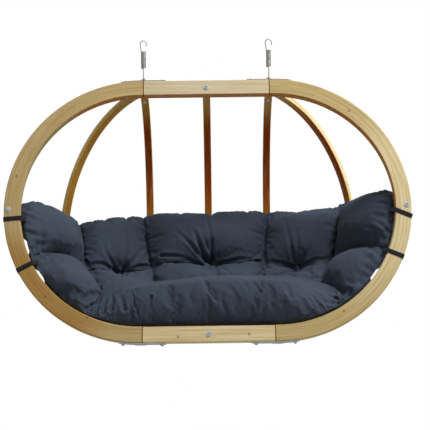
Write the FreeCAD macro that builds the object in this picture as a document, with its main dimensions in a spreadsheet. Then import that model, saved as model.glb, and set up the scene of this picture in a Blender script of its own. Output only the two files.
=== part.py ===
import FreeCAD, Part
import math
import os
import Sketcher
from FreeCAD import Placement, Rotation, Vector

# Double hanging chair: a stadium-shaped ring of bent spruce with a ribbed back, one quilted seat cushion,
# and two extension springs that carry the ring by an eye over each upper joint.
# Chair axes: X to the right, Y to the back from the ring's front face, Z up from the ring's centre.
# Row axes: the same directions, with the origin midway between the seats of the two spring hooks.

# Driving dimensions in millimetres and degrees: name, number, meaning.
SIZES = (
    ("ring_height", 1180, "outside height of the front ring"),
    ("rail_length", 560, "straight rail between the hoops, and spacing of the springs"),
    ("hoop_straight", 12, "straight run at each end of a hoop"),
    ("stock_width", 70, "ring timber across its front face"),
    ("stock_depth", 40, "ring timber from front to back"),
    ("stock_chamfer", 4, "eased long edges of the ring timber"),
    ("joint_chamfer", 2, "eased ends at the butt joints of the ring"),
    ("rib_width", 34, "back rib across its inner face"),
    ("rib_thickness", 26, "back rib from inner to outer face"),
    ("rib_chamfer", 2.5, "eased long edges of ribs and band"),
    ("outer_rib_angle", 45, "turn of the outer ribs about the pole at the joint"),
    ("band_width", 34, "height of the back band"),
    ("band_thickness", 26, "thickness of the back band"),
    ("seat_gap", 0.3, "clearance between pieces that seat on each other"),
    ("plate_thickness", 4, "joint plate steel"),
    ("plate_width", 30, "joint plate from front to back"),
    ("plate_reach", 100, "joint plate to each side of the joint"),
    ("tongue_width", 24, "joint plate tongue across a rib"),
    ("tongue_length", 62, "joint plate tongue along a rib"),
    ("outer_tongue_start", 17, "start of the outer tongue from the pole"),
    ("web_hoop_side", 32, "joint plate web towards the hoop"),
    ("web_rail_side", 15, "joint plate web towards the rail"),
    ("bolt_reach", 82, "joint bolts to each side of the joint"),
    ("bolt_diameter", 8, "joint and frame bolt shank"),
    ("bolt_clearance", 0.3, "radial clearance of a bolt in its hole"),
    ("joint_bolt_length", 75, "joint bolt below its head"),
    ("bolt_head_width", 13, "hexagon across flats"),
    ("bolt_head_height", 5.3, "hexagon head height"),
    ("nut_height", 6.5, "hexagon nut height"),
    ("counterbore_diameter", 20, "recess for nut or head on the ring's inner edge"),
    ("counterbore_depth", 8, "depth of that recess"),
    ("frame_bolt_length", 90, "frame bolt below its flange"),
    ("flange_diameter", 24, "frame bolt flange"),
    ("flange_height", 2.5, "frame bolt flange thickness"),
    ("button_diameter", 16, "frame bolt button at its foot"),
    ("button_height", 4, "frame bolt button height"),
    ("socket_width", 7, "hexagon socket across flats"),
    ("eye_wire", 5, "eye bar diameter"),
    ("eye_span", 22, "eye from outside to outside"),
    ("eye_height", 11, "eye bar's centre above the plate"),
    ("eye_bend", 5, "bend radius of the eye at its centreline"),
    ("spring_wire", 4.5, "spring wire diameter"),
    ("spring_turns", 18, "closed turns of the coil"),
    ("spring_diameter", 23, "coil outside diameter"),
    ("turn_relief", 1.6, "depth of the groove between two turns"),
    ("hook_radius", 14, "top hook bend at its centreline"),
    ("hook_drop", 42, "coil's top below the hook's seat"),
    ("hook_tail", 12, "straight free end of the hook"),
    ("loop_drop", 46.5, "hinge line below the coil's end"),
    ("loop_tip", 6, "straight free end of the lower loop"),
    ("hang_tilt", 16.3, "lean of the ring when the empty chair hangs at rest"),
    ("cushion_front", 35, "cushion in front of the ring"),
    ("cushion_top", 72, "cushion's rim above the ring's centre, at the ring"),
    ("cushion_slope", 5.7, "rise of that rim towards the back"),
    ("cushion_wall", 52, "cushion between two pillows, at its seams"),
    ("middle_pillow_inset", 22, "middle back pillow's centre inside the ribs"),
    ("middle_pillow_drop", 33, "its centre below the ring's centre"),
    ("middle_pillow_width", 684, "its width"),
    ("middle_pillow_depth", 404, "its depth"),
    ("middle_pillow_height", 301, "its height"),
    ("outer_pillow_turn", 21, "outer back pillow's direction from straight back"),
    ("outer_pillow_inset", 72, "its centre inside the ribs"),
    ("outer_pillow_drop", 40, "its centre below the ring's centre"),
    ("outer_pillow_width", 370, "its width"),
    ("outer_pillow_depth", 255, "its depth"),
    ("outer_pillow_height", 310, "its height"),
    ("outer_pillow_tilt", 51.6, "its lean into the seat"),
    ("side_pillow_turn", 64.4, "side pillow's direction from straight back"),
    ("side_pillow_inset", 22, "its centre inside the ribs"),
    ("side_pillow_drop", 46, "its centre below the ring's centre"),
    ("side_pillow_width", 534, "its width"),
    ("side_pillow_depth", 284, "its depth"),
    ("side_pillow_height", 320, "its height"),
    ("side_pillow_tilt", 26.8, "its lean into the seat"),
    ("arm_pillow_turn", 61.6, "arm pillow's direction from straight back"),
    ("arm_pillow_inset", 112, "its centre inside the ribs"),
    ("arm_pillow_rise", 101, "its centre above the ring's inside"),
    ("arm_pillow_width", 586, "its width"),
    ("arm_pillow_depth", 358, "its depth"),
    ("arm_pillow_height", 560, "its height"),
    ("lumbar_roll_inset", 163, "lumbar roll's centre inside the ribs"),
    ("lumbar_roll_rise", 288, "its centre above the ring's inside"),
    ("lumbar_roll_end", 160, "its ends inside the hoops"),
    ("lumbar_roll_depth", 174, "its depth"),
    ("lumbar_roll_height", 154, "its height"),
    ("seat_pad_inset", 286, "seat pad's centre inside the ribs"),
    ("seat_pad_rise", 163, "its centre above the ring's inside"),
    ("seat_pad_end", 160, "its ends inside the hoops"),
    ("seat_pad_depth", 512, "its depth"),
    ("seat_pad_height", 209, "its height"),
    ("front_roll_reach", 41, "front roll's centre behind the ribs' centre line"),
    ("front_roll_rise", 70, "its centre above the ring's inside"),
    ("front_roll_end", 251, "its ends inside the hoops"),
    ("front_roll_depth", 215, "its depth"),
    ("front_roll_height", 319, "its height"),
    ("strap_width", 20, "webbing strap"),
    ("strap_thickness", 2, "webbing strap thickness"),
    ("strap_slack", 0.9, "strap's room at the hoop's inner and outer edges"),
    ("left_upper_strap_angle", 4.3, "left upper strap below the hoop's half height"),
    ("left_lower_strap_angle", 27.5, "left lower strap below the hoop's half height"),
    ("right_upper_strap_angle", 3.9, "right upper strap below the hoop's half height"),
    ("right_lower_strap_angle", 23.1, "right lower strap below the hoop's half height"),
)

# Sizes that follow from the driving dimensions, as expressions on the sheet.
RING_RADIUS = "Sizes.ring_height / 2"
STOCK_RADIUS = "(Sizes.ring_height - Sizes.stock_width) / 2"
RING_INNER = "Sizes.ring_height / 2 - Sizes.stock_width"
RIB_OUTER = "(Sizes.ring_height - Sizes.stock_width + Sizes.rib_thickness) / 2"
RIB_INNER = "(Sizes.ring_height - Sizes.stock_width - Sizes.rib_thickness) / 2"
BAND_RADIUS = RIB_OUTER + " + Sizes.seat_gap + Sizes.band_thickness / 2"
PLATE_RADIUS = "(Sizes.ring_height + Sizes.plate_thickness) / 2"
PLATE_OUTER = "Sizes.ring_height / 2 + Sizes.plate_thickness"
RECESS_FLOOR = RING_INNER + " + Sizes.counterbore_depth"
HOLE_RADIUS = "Sizes.bolt_diameter / 2 + Sizes.bolt_clearance"
EYE_HALF_SPAN = "(Sizes.eye_span - Sizes.eye_wire) / 2"
COIL_RADIUS = "(Sizes.spring_diameter - Sizes.spring_wire) / 2"
COIL_LENGTH = "Sizes.spring_turns * Sizes.spring_wire"
LOOP_CENTRE = COIL_RADIUS + " - Sizes.spring_wire / 2 - Sizes.eye_wire / 2 - Sizes.seat_gap"
HANG_DROP = "Sizes.hook_drop + " + COIL_LENGTH + " + Sizes.loop_drop"
HINGE_HEIGHT = PLATE_OUTER + " + Sizes.eye_height"
HALF_RAIL = "Sizes.rail_length / 2"
HOOP_CENTRE = "Sizes.rail_length / 2 + Sizes.hoop_straight"
CUSHION_BACK = RIB_INNER + " - Sizes.seat_gap"
CUSHION_RING = RING_INNER + " - Sizes.strap_slack - Sizes.strap_thickness - Sizes.seat_gap"

# A pillow's centre behind the ribs' centre line and below the ring's centre, and its width, for its name.
INSIDE_RIBS = CUSHION_BACK + " - Sizes.{}_inset"
BELOW_CENTRE = "Sizes.{}_drop"
ABOVE_RING = RING_INNER + " - Sizes.{}_rise"
OWN_WIDTH = "Sizes.{}_width"
BETWEEN_HOOPS = "Sizes.rail_length + 2 * (" + RING_INNER + " - Sizes.{}_end)"
MIDDLE_PILLOWS = {
    "middle_pillow": (INSIDE_RIBS, BELOW_CENTRE, OWN_WIDTH),
    "lumbar_roll": (INSIDE_RIBS, ABOVE_RING, BETWEEN_HOOPS),
    "seat_pad": (INSIDE_RIBS, ABOVE_RING, BETWEEN_HOOPS),
    "front_roll": ("Sizes.{}_reach", ABOVE_RING, BETWEEN_HOOPS),
}
SIDE_PILLOWS = {
    "outer_pillow": (INSIDE_RIBS, BELOW_CENTRE, OWN_WIDTH),
    "side_pillow": (INSIDE_RIBS, BELOW_CENTRE, OWN_WIDTH),
    "arm_pillow": (INSIDE_RIBS, ABOVE_RING, OWN_WIDTH),
}
LEANING_PILLOWS = ("outer_pillow", "side_pillow")

X_AXIS = Vector(1, 0, 0)
Y_AXIS = Vector(0, 1, 0)
Z_AXIS = Vector(0, 0, 1)
START, END, CENTRE = range(1, 4)
H_AXIS, V_AXIS = range(-1, -3, -1)
ROOT = (H_AXIS, START)
HEXAGON_CORNER = 1 / math.sqrt(3)

doc = FreeCAD.newDocument("HangingChair")
sheet = doc.addObject("Spreadsheet::Sheet", "Sizes")
for row, (name, number, meaning) in enumerate(SIZES, 1):
    sheet.set(f"A{row}", meaning)
    sheet.set(f"B{row}", str(number))
    sheet.setAlias(f"B{row}", name)
doc.recompute()

parts = []


def value(expression):
    """A sheet expression as a number."""
    return float(sheet.evalExpression(expression))


def size(name):
    """One driving dimension as a number."""
    return value(f"Sizes.{name}")


def shift(x=0, y=0, z=0):
    return Placement(Vector(x, y, z), Rotation())


def turn(axis, degrees):
    return Placement(Vector(), Rotation(axis, degrees))


def chair_placement():
    """Chair axes to row axes: the eye line goes to the hinge line and the ring leans by the hanging tilt."""
    eye_line = shift(y=-size("stock_depth") / 2, z=-value(HINGE_HEIGHT))
    return shift(z=-value(HANG_DROP)) * turn(X_AXIS, -size("hang_tilt")) * eye_line


CHAIR = chair_placement()


def publish(feature):
    """A finished sub-part of the chair."""
    parts.append(feature)
    return feature


def new_body(label, placement=Placement()):
    body = doc.addObject("PartDesign::Body", label)
    body.Label = label
    body.Placement = placement
    return body


def origin_feature(body, role):
    return next(feature for feature in body.Origin.OriginFeatures if feature.Role == role)


def new_sketch(body, name, role, **offsets):
    """A sketch on one of the body's origin planes, moved within that plane's axes by sheet expressions."""
    sketch = body.newObject("Sketcher::SketchObject", name)
    sketch.AttachmentSupport = [(origin_feature(body, role), "")]
    sketch.MapMode = "FlatFace"
    for axis, expression in offsets.items():
        sketch.setExpression(f"AttachmentOffset.Base.{axis}", expression)
    return sketch


def constrain(sketch, kind, *references, to=None):
    """Add a constraint, with its value bound to a sheet expression where it has one."""
    if to is None:
        sketch.addConstraint(Sketcher.Constraint(kind, *references))
        return
    index = sketch.addConstraint(Sketcher.Constraint(kind, *references, value(to)))
    sketch.setExpression(f"Constraints[{index}]", to)


def polyline(sketch, points):
    """A closed chain of lines; returns the index of its first line."""
    first = sketch.GeometryCount
    corners = [Vector(x, y, 0) for x, y in points]
    for begin, finish in zip(corners, corners[1:] + corners[:1]):
        sketch.addGeometry(Part.LineSegment(begin, finish))
    count = len(corners)
    for step in range(count):
        constrain(sketch, "Coincident", first + step, END, first + (step + 1) % count, START)
    return first


def add_line(sketch, x1, y1, x2, y2):
    return sketch.addGeometry(Part.LineSegment(Vector(x1, y1, 0), Vector(x2, y2, 0)))


def add_arc(sketch, x, y, radius, begin, finish):
    circle = Part.Circle(Vector(x, y, 0), Z_AXIS, radius)
    return sketch.addGeometry(Part.ArcOfCircle(circle, math.radians(begin), math.radians(finish)))


def chamfered_rectangle(sketch, width, height, chamfer):
    """An eight-sided section centred on the sketch's origin."""
    w = value(width) / 2
    h = value(height) / 2
    c = value(chamfer)
    corners = [(c - w, -h), (w - c, -h), (w, c - h), (w, h - c), (w - c, h), (c - w, h), (-w, h - c), (-w, c - h)]
    g = polyline(sketch, corners)
    constrain(sketch, "Symmetric", g, START, g, END, V_AXIS)
    constrain(sketch, "Symmetric", g, START, g + 4, END, H_AXIS)
    constrain(sketch, "Symmetric", g + 4, START, g + 4, END, V_AXIS)
    constrain(sketch, "Symmetric", g + 2, START, g + 2, END, H_AXIS)
    constrain(sketch, "Symmetric", g + 2, START, g + 6, END, V_AXIS)
    constrain(sketch, "Symmetric", g + 6, START, g + 6, END, H_AXIS)
    constrain(sketch, "DistanceX", g + 6, END, g + 2, START, to=width)
    constrain(sketch, "DistanceY", g, START, g + 4, END, to=height)
    constrain(sketch, "DistanceX", g, END, g + 2, START, to=chamfer)
    constrain(sketch, "DistanceY", g, END, g + 2, START, to=chamfer)


def round_section(sketch, diameter):
    """A circle centred on the sketch's origin."""
    sketch.addGeometry(Part.Circle(Vector(), Z_AXIS, value(diameter) / 2))
    constrain(sketch, "Coincident", 0, CENTRE, *ROOT)
    constrain(sketch, "Diameter", 0, to=diameter)


def sweep(body, profile, spine):
    pipe = body.newObject("PartDesign::AdditivePipe", "Sweep")
    pipe.Profile = profile
    pipe.Spine = spine
    return pipe


def primitive(body, kind, placement, **sizes):
    """An additive or subtractive primitive whose sizes are sheet expressions."""
    feature = body.newObject(f"PartDesign::{kind}", kind)
    feature.Placement = placement
    for name, expression in sizes.items():
        feature.setExpression(name, expression)
    return feature


def along(point, direction):
    """A placement whose Z axis points in a direction."""
    return Placement(point, Rotation(Z_AXIS, direction))


def drill(body, point, direction, radius, depth):
    primitive(body, "SubtractiveCylinder", along(point, direction), Radius=radius, Height=depth)


def ease_ends(body, planes):
    """Chamfer the outline of each end face, found by the plane x = constant that it lies in."""
    doc.recompute()
    solid = body.Tip
    names = []
    for index, edge in enumerate(solid.Shape.Edges, 1):
        box = edge.BoundBox
        if any(max(abs(box.XMin - x), abs(box.XMax - x)) < 1e-4 for x in planes):
            names.append(f"Edge{index}")
    chamfer = body.newObject("PartDesign::Chamfer", "EasedEnds")
    chamfer.Base = (solid, names)
    chamfer.setExpression("Size", "Sizes.joint_chamfer")
    return chamfer


def mirrored(label, source, normal, base=Vector()):
    """The same piece on the other side of a plane."""
    feature = doc.addObject("Part::Mirroring", label)
    feature.Label = label
    feature.Source = source
    feature.Normal = normal
    feature.Base = base
    return publish(feature)


def repeated(label, master, placements):
    """Identical fasteners, or a pair, as one group of solids."""
    copies = []
    for index, placement in enumerate(placements, 1):
        copy = doc.addObject("App::Link", f"{label}_{index}")
        copy.LinkedObject = master
        copy.LinkTransform = False
        copy.Placement = placement
        copies.append(copy)
    group = doc.addObject("Part::Compound", label)
    group.Label = label
    group.Links = copies
    return publish(group)


def joint_bolt_axes():
    """Where the joint bolts cross the ring: foot on the arc's centre line, outward direction, is it a top one."""
    lean = math.degrees((size("bolt_reach") - size("hoop_straight")) / value(RING_RADIUS))
    middle = size("stock_depth") / 2
    axes = []
    for side in (-1, 1):
        for level in (1, -1):
            rail_foot = Vector(side * (value(HALF_RAIL) - size("bolt_reach")), middle, 0)
            hoop_foot = Vector(side * value(HOOP_CENTRE), middle, 0)
            hoop_way = Rotation(Y_AXIS, side * level * lean).multVec(Vector(0, 0, level))
            axes.append((rail_foot, Vector(0, 0, level), level > 0))
            axes.append((hoop_foot, hoop_way, level > 0))
    return axes


def frame_bolt_heads():
    """Flange seats of the frame bolts on the ring's front face: two for the centre rib, two for the band."""
    band_end = value(HALF_RAIL) + value(BAND_RADIUS)
    radius = value(STOCK_RADIUS)
    return [Vector(0, 0, radius), Vector(0, 0, -radius), Vector(-band_end, 0, 0), Vector(band_end, 0, 0)]


def drill_joint_bolts(body, inverse, wanted):
    """Bolt holes and inner recesses of the joint bolts that cross this piece."""
    for foot, way, _ in joint_bolt_axes():
        if not wanted(foot, way):
            continue
        local_foot = inverse.multVec(foot)
        local_way = inverse.Rotation.multVec(way)
        inside = local_foot + local_way * (value(RING_INNER) - size("stock_width"))
        recess = local_foot + local_way * value(RECESS_FLOOR)
        drill(body, inside, local_way, HOLE_RADIUS, "3 * Sizes.stock_width")
        drill(body, recess, local_way * -1, "Sizes.counterbore_diameter / 2", "Sizes.stock_width")


def make_hoop():
    """The left half of the ring: a bent bar with a short straight run at each end."""
    local = shift(-value(HOOP_CENTRE), size("stock_depth") / 2)
    body = new_body("left_hoop", CHAIR * local)
    radius = value(STOCK_RADIUS)
    run = size("hoop_straight")
    spine = new_sketch(body, "HoopSpine", "XZ_Plane")
    add_line(spine, run, radius, 0, radius)
    add_arc(spine, 0, 0, radius, 90, 270)
    add_line(spine, 0, -radius, run, -radius)
    constrain(spine, "Coincident", 1, CENTRE, *ROOT)
    constrain(spine, "Tangent", 0, END, 1, START)
    constrain(spine, "Tangent", 1, END, 2, START)
    constrain(spine, "Horizontal", 0)
    constrain(spine, "Horizontal", 2)
    constrain(spine, "Radius", 1, to=STOCK_RADIUS)
    constrain(spine, "DistanceX", 0, END, 0, START, to="Sizes.hoop_straight")
    constrain(spine, "DistanceX", 2, START, 2, END, to="Sizes.hoop_straight")
    section = new_sketch(body, "HoopSection", "YZ_Plane", y=STOCK_RADIUS, z="Sizes.hoop_straight")
    chamfered_rectangle(section, "Sizes.stock_depth", "Sizes.stock_width", "Sizes.stock_chamfer")
    sweep(body, section, spine)
    ease_ends(body, [run])
    inverse = local.inverse()
    drill_joint_bolts(body, inverse, lambda foot, way: foot.x < -value(HALF_RAIL))
    band_bolt = inverse.multVec(frame_bolt_heads()[2])
    drill(body, band_bolt - Y_AXIS, Y_AXIS, HOLE_RADIUS, "Sizes.stock_depth + 2")
    return publish(body)


def make_rail(label, level):
    """A straight rail between the hoops, at the top (level 1) or the bottom (level -1)."""
    middle = size("stock_depth") / 2
    local = shift(-value(HALF_RAIL), middle, level * value(STOCK_RADIUS))
    body = new_body(label, CHAIR * local)
    section = new_sketch(body, "RailSection", "YZ_Plane")
    chamfered_rectangle(section, "Sizes.stock_depth", "Sizes.stock_width", "Sizes.stock_chamfer")
    rail = body.newObject("PartDesign::Pad", "Rail")
    rail.Profile = section
    rail.setExpression("Length", "Sizes.rail_length")
    ease_ends(body, [0, size("rail_length")])
    inverse = local.inverse()
    drill_joint_bolts(body, inverse, lambda foot, way: abs(foot.x) < value(HALF_RAIL) and way.z * level > 0)
    rib_bolt = inverse.multVec(Vector(0, -1, level * value(STOCK_RADIUS)))
    drill(body, rib_bolt, Y_AXIS, HOLE_RADIUS, "Sizes.stock_depth + 2")
    return publish(body)


def make_rib(label, x, azimuth=0, bolted=False):
    """A half-round rib that butts on the ring's back face, in a plane turned about the pole at x."""
    local = shift(x, size("stock_depth")) * turn(Z_AXIS, azimuth)
    body = new_body(label, CHAIR * local)
    section = new_sketch(body, "RibSection", "XZ_Plane", y=STOCK_RADIUS)
    chamfered_rectangle(section, "Sizes.rib_width", "Sizes.rib_thickness", "Sizes.rib_chamfer")
    bend = body.newObject("PartDesign::Revolution", "RibBend")
    bend.Profile = section
    bend.ReferenceAxis = (origin_feature(body, "X_Axis"), [""])
    bend.Angle = 180
    bend.Reversed = True
    if azimuth:
        mitre(body, azimuth)
    if bolted:
        for level in (1, -1):
            foot = Vector(0, -1, level * value(STOCK_RADIUS))
            drill(body, foot, Y_AXIS, HOLE_RADIUS, "Sizes.frame_bolt_length - Sizes.stock_depth + 3")
    return publish(body)


def mitre(body, azimuth):
    """Cut an outer rib's ends to butt on the ring's back face and on the side of the rib beside it."""
    reach = value(RIB_OUTER)
    across = turn(Z_AXIS, -azimuth)
    gap = size("seat_gap")
    beside = size("rib_width") / 2 + gap
    ring_side = across * shift(-reach, gap - reach, -reach)
    rib_side = across * shift(-beside, -reach, -reach)
    block = f"2 * ({RIB_OUTER})"
    primitive(body, "SubtractiveBox", ring_side, Length=block, Width=RIB_OUTER, Height=block)
    primitive(body, "SubtractiveBox", rib_side, Length=RIB_OUTER, Width=block, Height=block)


def make_band():
    """The horizontal band round the outside of the ribs, from one hoop's back face to the other's."""
    local = shift(y=size("stock_depth"))
    body = new_body("back_band", CHAIR * local)
    half = value(HALF_RAIL)
    radius = value(BAND_RADIUS)
    spine = new_sketch(body, "BandSpine", "XY_Plane")
    add_arc(spine, -half, 0, radius, 90, 180)
    add_line(spine, -half, radius, half, radius)
    add_arc(spine, half, 0, radius, 0, 90)
    constrain(spine, "Tangent", 0, START, 1, START)
    constrain(spine, "Tangent", 1, END, 2, END)
    constrain(spine, "Horizontal", 1)
    constrain(spine, "Symmetric", 0, CENTRE, 2, CENTRE, *ROOT)
    constrain(spine, "PointOnObject", 0, CENTRE, H_AXIS)
    constrain(spine, "PointOnObject", 0, END, H_AXIS)
    constrain(spine, "PointOnObject", 2, START, H_AXIS)
    constrain(spine, "Radius", 0, to=BAND_RADIUS)
    constrain(spine, "DistanceX", 0, CENTRE, 2, CENTRE, to="Sizes.rail_length")
    section = new_sketch(body, "BandSection", "XZ_Plane", x=f"-({HALF_RAIL}) - ({BAND_RADIUS})")
    chamfered_rectangle(section, "Sizes.band_thickness", "Sizes.band_width", "Sizes.rib_chamfer")
    sweep(body, section, spine)
    for head in frame_bolt_heads()[2:]:
        drill(body, Vector(head.x, -1, 0), Y_AXIS, HOLE_RADIUS, "Sizes.frame_bolt_length - Sizes.stock_depth + 3")
    return publish(body)


def make_joint_plate():
    """The top left joint plate: a strip bent over the butt joint, with a web down the ring's back face
    and a tongue over the end of each of the two ribs that meet there."""
    middle = size("stock_depth") / 2
    local = shift(-value(HALF_RAIL), middle)
    body = new_body("top_left_plate", CHAIR * local)
    radius = value(PLATE_RADIUS)
    reach = size("plate_reach")
    run = size("hoop_straight")
    bend = math.degrees(math.asin((reach - run) / radius))
    spine = new_sketch(body, "PlateSpine", "XZ_Plane")
    add_line(spine, reach, radius, -run, radius)
    add_arc(spine, -run, 0, radius, 90, 90 + bend)
    constrain(spine, "Tangent", 0, END, 1, START)
    constrain(spine, "Horizontal", 0)
    constrain(spine, "PointOnObject", 1, CENTRE, H_AXIS)
    constrain(spine, "Radius", 1, to=PLATE_RADIUS)
    constrain(spine, "DistanceX", 1, CENTRE, *ROOT, to="Sizes.hoop_straight")
    constrain(spine, "DistanceX", *ROOT, 0, START, to="Sizes.plate_reach")
    constrain(spine, "DistanceX", 1, END, *ROOT, to="Sizes.plate_reach")
    section = new_sketch(body, "PlateSection", "YZ_Plane", y=PLATE_RADIUS, z="Sizes.plate_reach")
    chamfered_rectangle(section, "Sizes.plate_width", "Sizes.plate_thickness", "Sizes.plate_thickness / 8")
    sweep(body, section, spine)
    add_rib_tongues(body)
    inverse = local.inverse()
    for foot, way, top in joint_bolt_axes():
        if top and foot.x < 0:
            drill(body, inverse.multVec(foot), inverse.Rotation.multVec(way), HOLE_RADIUS, "Sizes.ring_height")
    return publish(body)


def add_rib_tongues(body):
    """The shelf, web and tongues that tie a joint plate to its ribs, in the plate's own axes."""
    gap = size("seat_gap")
    back = size("stock_depth") / 2
    overlap = size("plate_width") / 4
    shelf_depth = "Sizes.stock_depth / 2 - Sizes.plate_width / 4 + Sizes.seat_gap + Sizes.plate_thickness"
    web_width = "Sizes.web_hoop_side + Sizes.web_rail_side"
    web_height = f"{PLATE_OUTER} - ({RIB_OUTER}) - Sizes.seat_gap"
    left = -size("web_hoop_side")
    shelf = shift(left, overlap, value(RING_RADIUS))
    web = shift(left, back + gap, value(RIB_OUTER) + gap)
    primitive(body, "AdditiveBox", shelf, Length=web_width, Width=shelf_depth, Height="Sizes.plate_thickness")
    primitive(body, "AdditiveBox", web, Length=web_width, Width="Sizes.plate_thickness", Height=web_height)
    length = size("tongue_length")
    starts = ((0, gap), (size("outer_rib_angle"), size("outer_tongue_start")))
    for azimuth, start in starts:
        tangent = math.degrees(math.asin((start + length / 2) / value(RIB_OUTER)))
        seat = shift(-size("tongue_width") / 2, -length / 2, value(RIB_OUTER) + gap)
        tongue = shift(y=back) * turn(Z_AXIS, azimuth) * turn(X_AXIS, -tangent) * seat
        primitive(
            body,
            "AdditiveBox",
            tongue,
            Length="Sizes.tongue_width",
            Width="Sizes.tongue_length",
            Height="Sizes.plate_thickness",
        )


def make_eyes():
    """The two U-shaped eyes that stand on the top plates, over the joints."""
    body = new_body("EyeMaster")
    half = value(EYE_HALF_SPAN)
    height = size("eye_height")
    bend = size("eye_bend")
    spine = new_sketch(body, "EyeSpine", "XZ_Plane")
    add_line(spine, -half, 0, -half, height - bend)
    add_arc(spine, bend - half, height - bend, bend, 90, 180)
    add_line(spine, bend - half, height, half - bend, height)
    add_arc(spine, half - bend, height - bend, bend, 0, 90)
    add_line(spine, half, height - bend, half, 0)
    constrain(spine, "Tangent", 0, END, 1, END)
    constrain(spine, "Tangent", 1, START, 2, START)
    constrain(spine, "Tangent", 2, END, 3, END)
    constrain(spine, "Tangent", 3, START, 4, START)
    constrain(spine, "Vertical", 0)
    constrain(spine, "Vertical", 4)
    constrain(spine, "Horizontal", 2)
    constrain(spine, "Equal", 1, 3)
    constrain(spine, "Symmetric", 0, START, 4, END, V_AXIS)
    constrain(spine, "PointOnObject", 0, START, H_AXIS)
    constrain(spine, "Radius", 1, to="Sizes.eye_bend")
    constrain(spine, "DistanceX", 0, START, 4, END, to=f"2 * {EYE_HALF_SPAN}")
    constrain(spine, "DistanceY", *ROOT, 2, START, to="Sizes.eye_height")
    section = new_sketch(body, "EyeSection", "XY_Plane", x=f"-{EYE_HALF_SPAN}")
    round_section(section, "Sizes.eye_wire")
    sweep(body, section, spine)
    seats = [shift(side * value(HALF_RAIL), size("stock_depth") / 2, value(PLATE_OUTER)) for side in (-1, 1)]
    return repeated("hanger_eyes", body, [CHAIR * seat for seat in seats])


def make_joint_bolts():
    """Eight bolts through plate and ring, all with their heads up, and their nuts."""
    corner = f"Sizes.bolt_head_width * {HEXAGON_CORNER:.6f}"
    bolt = new_body("JointBoltMaster")
    primitive(bolt, "AdditivePrism", Placement(), Circumradius=corner, Height="Sizes.bolt_head_height")
    shank = along(Vector(), Z_AXIS * -1)
    primitive(bolt, "AdditiveCylinder", shank, Radius="Sizes.bolt_diameter / 2", Height="Sizes.joint_bolt_length")
    nut = new_body("JointNutMaster")
    primitive(nut, "AdditivePrism", Placement(), Circumradius=corner, Height="Sizes.nut_height")
    drill(nut, shift(z=-1).Base, Z_AXIS, "Sizes.bolt_diameter / 2 + Sizes.bolt_clearance / 3", "Sizes.nut_height + 2")
    bolts = []
    nuts = []
    for foot, way, top in joint_bolt_axes():
        outside = foot + way * value(PLATE_OUTER)
        recess = foot + way * value(RECESS_FLOOR)
        if top:
            bolts.append(CHAIR * along(outside, way))
            nuts.append(CHAIR * along(recess, way * -1))
        else:
            bolts.append(CHAIR * along(recess, way * -1))
            nuts.append(CHAIR * along(outside, way))
    repeated("joint_bolts", bolt, bolts)
    repeated("joint_nuts", nut, nuts)


def make_frame_bolts():
    """Four flange-headed bolts through the ring's front face, into the centre rib's ends and the band's ends."""
    bolt = new_body("FrameBoltMaster")
    crown = shift(z=size("flange_height"))
    primitive(bolt, "AdditiveCylinder", Placement(), Radius="Sizes.flange_diameter / 2", Height="Sizes.flange_height")
    primitive(
        bolt,
        "AdditiveCone",
        crown,
        Radius1="Sizes.button_diameter / 2",
        Radius2="Sizes.button_diameter * 0.375",
        Height="Sizes.button_height",
    )
    shank = along(Vector(), Z_AXIS * -1)
    primitive(bolt, "AdditiveCylinder", shank, Radius="Sizes.bolt_diameter / 2", Height="Sizes.frame_bolt_length")
    corner = f"Sizes.socket_width * {HEXAGON_CORNER:.6f}"
    primitive(bolt, "SubtractivePrism", crown, Circumradius=corner, Height="Sizes.button_height + 1")
    return repeated("frame_bolts", bolt, [CHAIR * along(head, Y_AXIS * -1) for head in frame_bolt_heads()])


def make_globe(name, radius):
    """A cylinder between two balls, about the line on which the ribs are centred."""
    half = value(HALF_RAIL)
    middle = doc.addObject("Part::Cylinder", name + "Middle")
    middle.setExpression("Radius", radius)
    middle.setExpression("Height", "Sizes.rail_length")
    middle.Placement = shift(-half, size("stock_depth")) * turn(Y_AXIS, 90)
    shapes = [middle]
    for side in (-1, 1):
        end = doc.addObject("Part::Sphere", name + "End")
        end.setExpression("Radius", radius)
        end.Placement = shift(side * half, size("stock_depth"))
        shapes.append(end)
    globe = doc.addObject("Part::MultiFuse", name)
    globe.Shapes = shapes
    return globe


def make_pillow(name, expressions, side=0):
    """One chamber of the cushion as an ellipsoid, at a side (left -1, right 1) or in the middle (0)."""
    reach, drop, width = (expression.format(name) for expression in expressions)
    pillow = doc.addObject("Part::Ellipsoid", name)
    pillow.setExpression("Radius1", f"Sizes.{name}_height / 2")
    pillow.setExpression("Radius2", f"({width}) / 2")
    pillow.setExpression("Radius3", f"Sizes.{name}_depth / 2")
    away = size(f"{name}_turn") if side else 0
    lean = size(f"{name}_tilt") if name in LEANING_PILLOWS else 0
    out = shift(y=value(reach), z=-value(drop))
    pole = shift(side * value(HALF_RAIL), size("stock_depth"))
    pillow.Placement = pole * turn(Z_AXIS, -side * away) * out * turn(X_AXIS, -lean)
    return pillow


def make_block(name, place, wide, deep, high):
    """A box of whole lengths of the cushion's radius, wider than the ribs by the rail's length."""
    block = doc.addObject("Part::Box", name)
    block.setExpression("Length", f"Sizes.rail_length + {wide} * ({CUSHION_BACK})")
    block.setExpression("Width", f"{deep} * ({CUSHION_BACK})")
    block.setExpression("Height", f"{high} * ({CUSHION_BACK})")
    block.Placement = place * shift(-value(HALF_RAIL) - wide / 2 * value(CUSHION_BACK))
    return block


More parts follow.
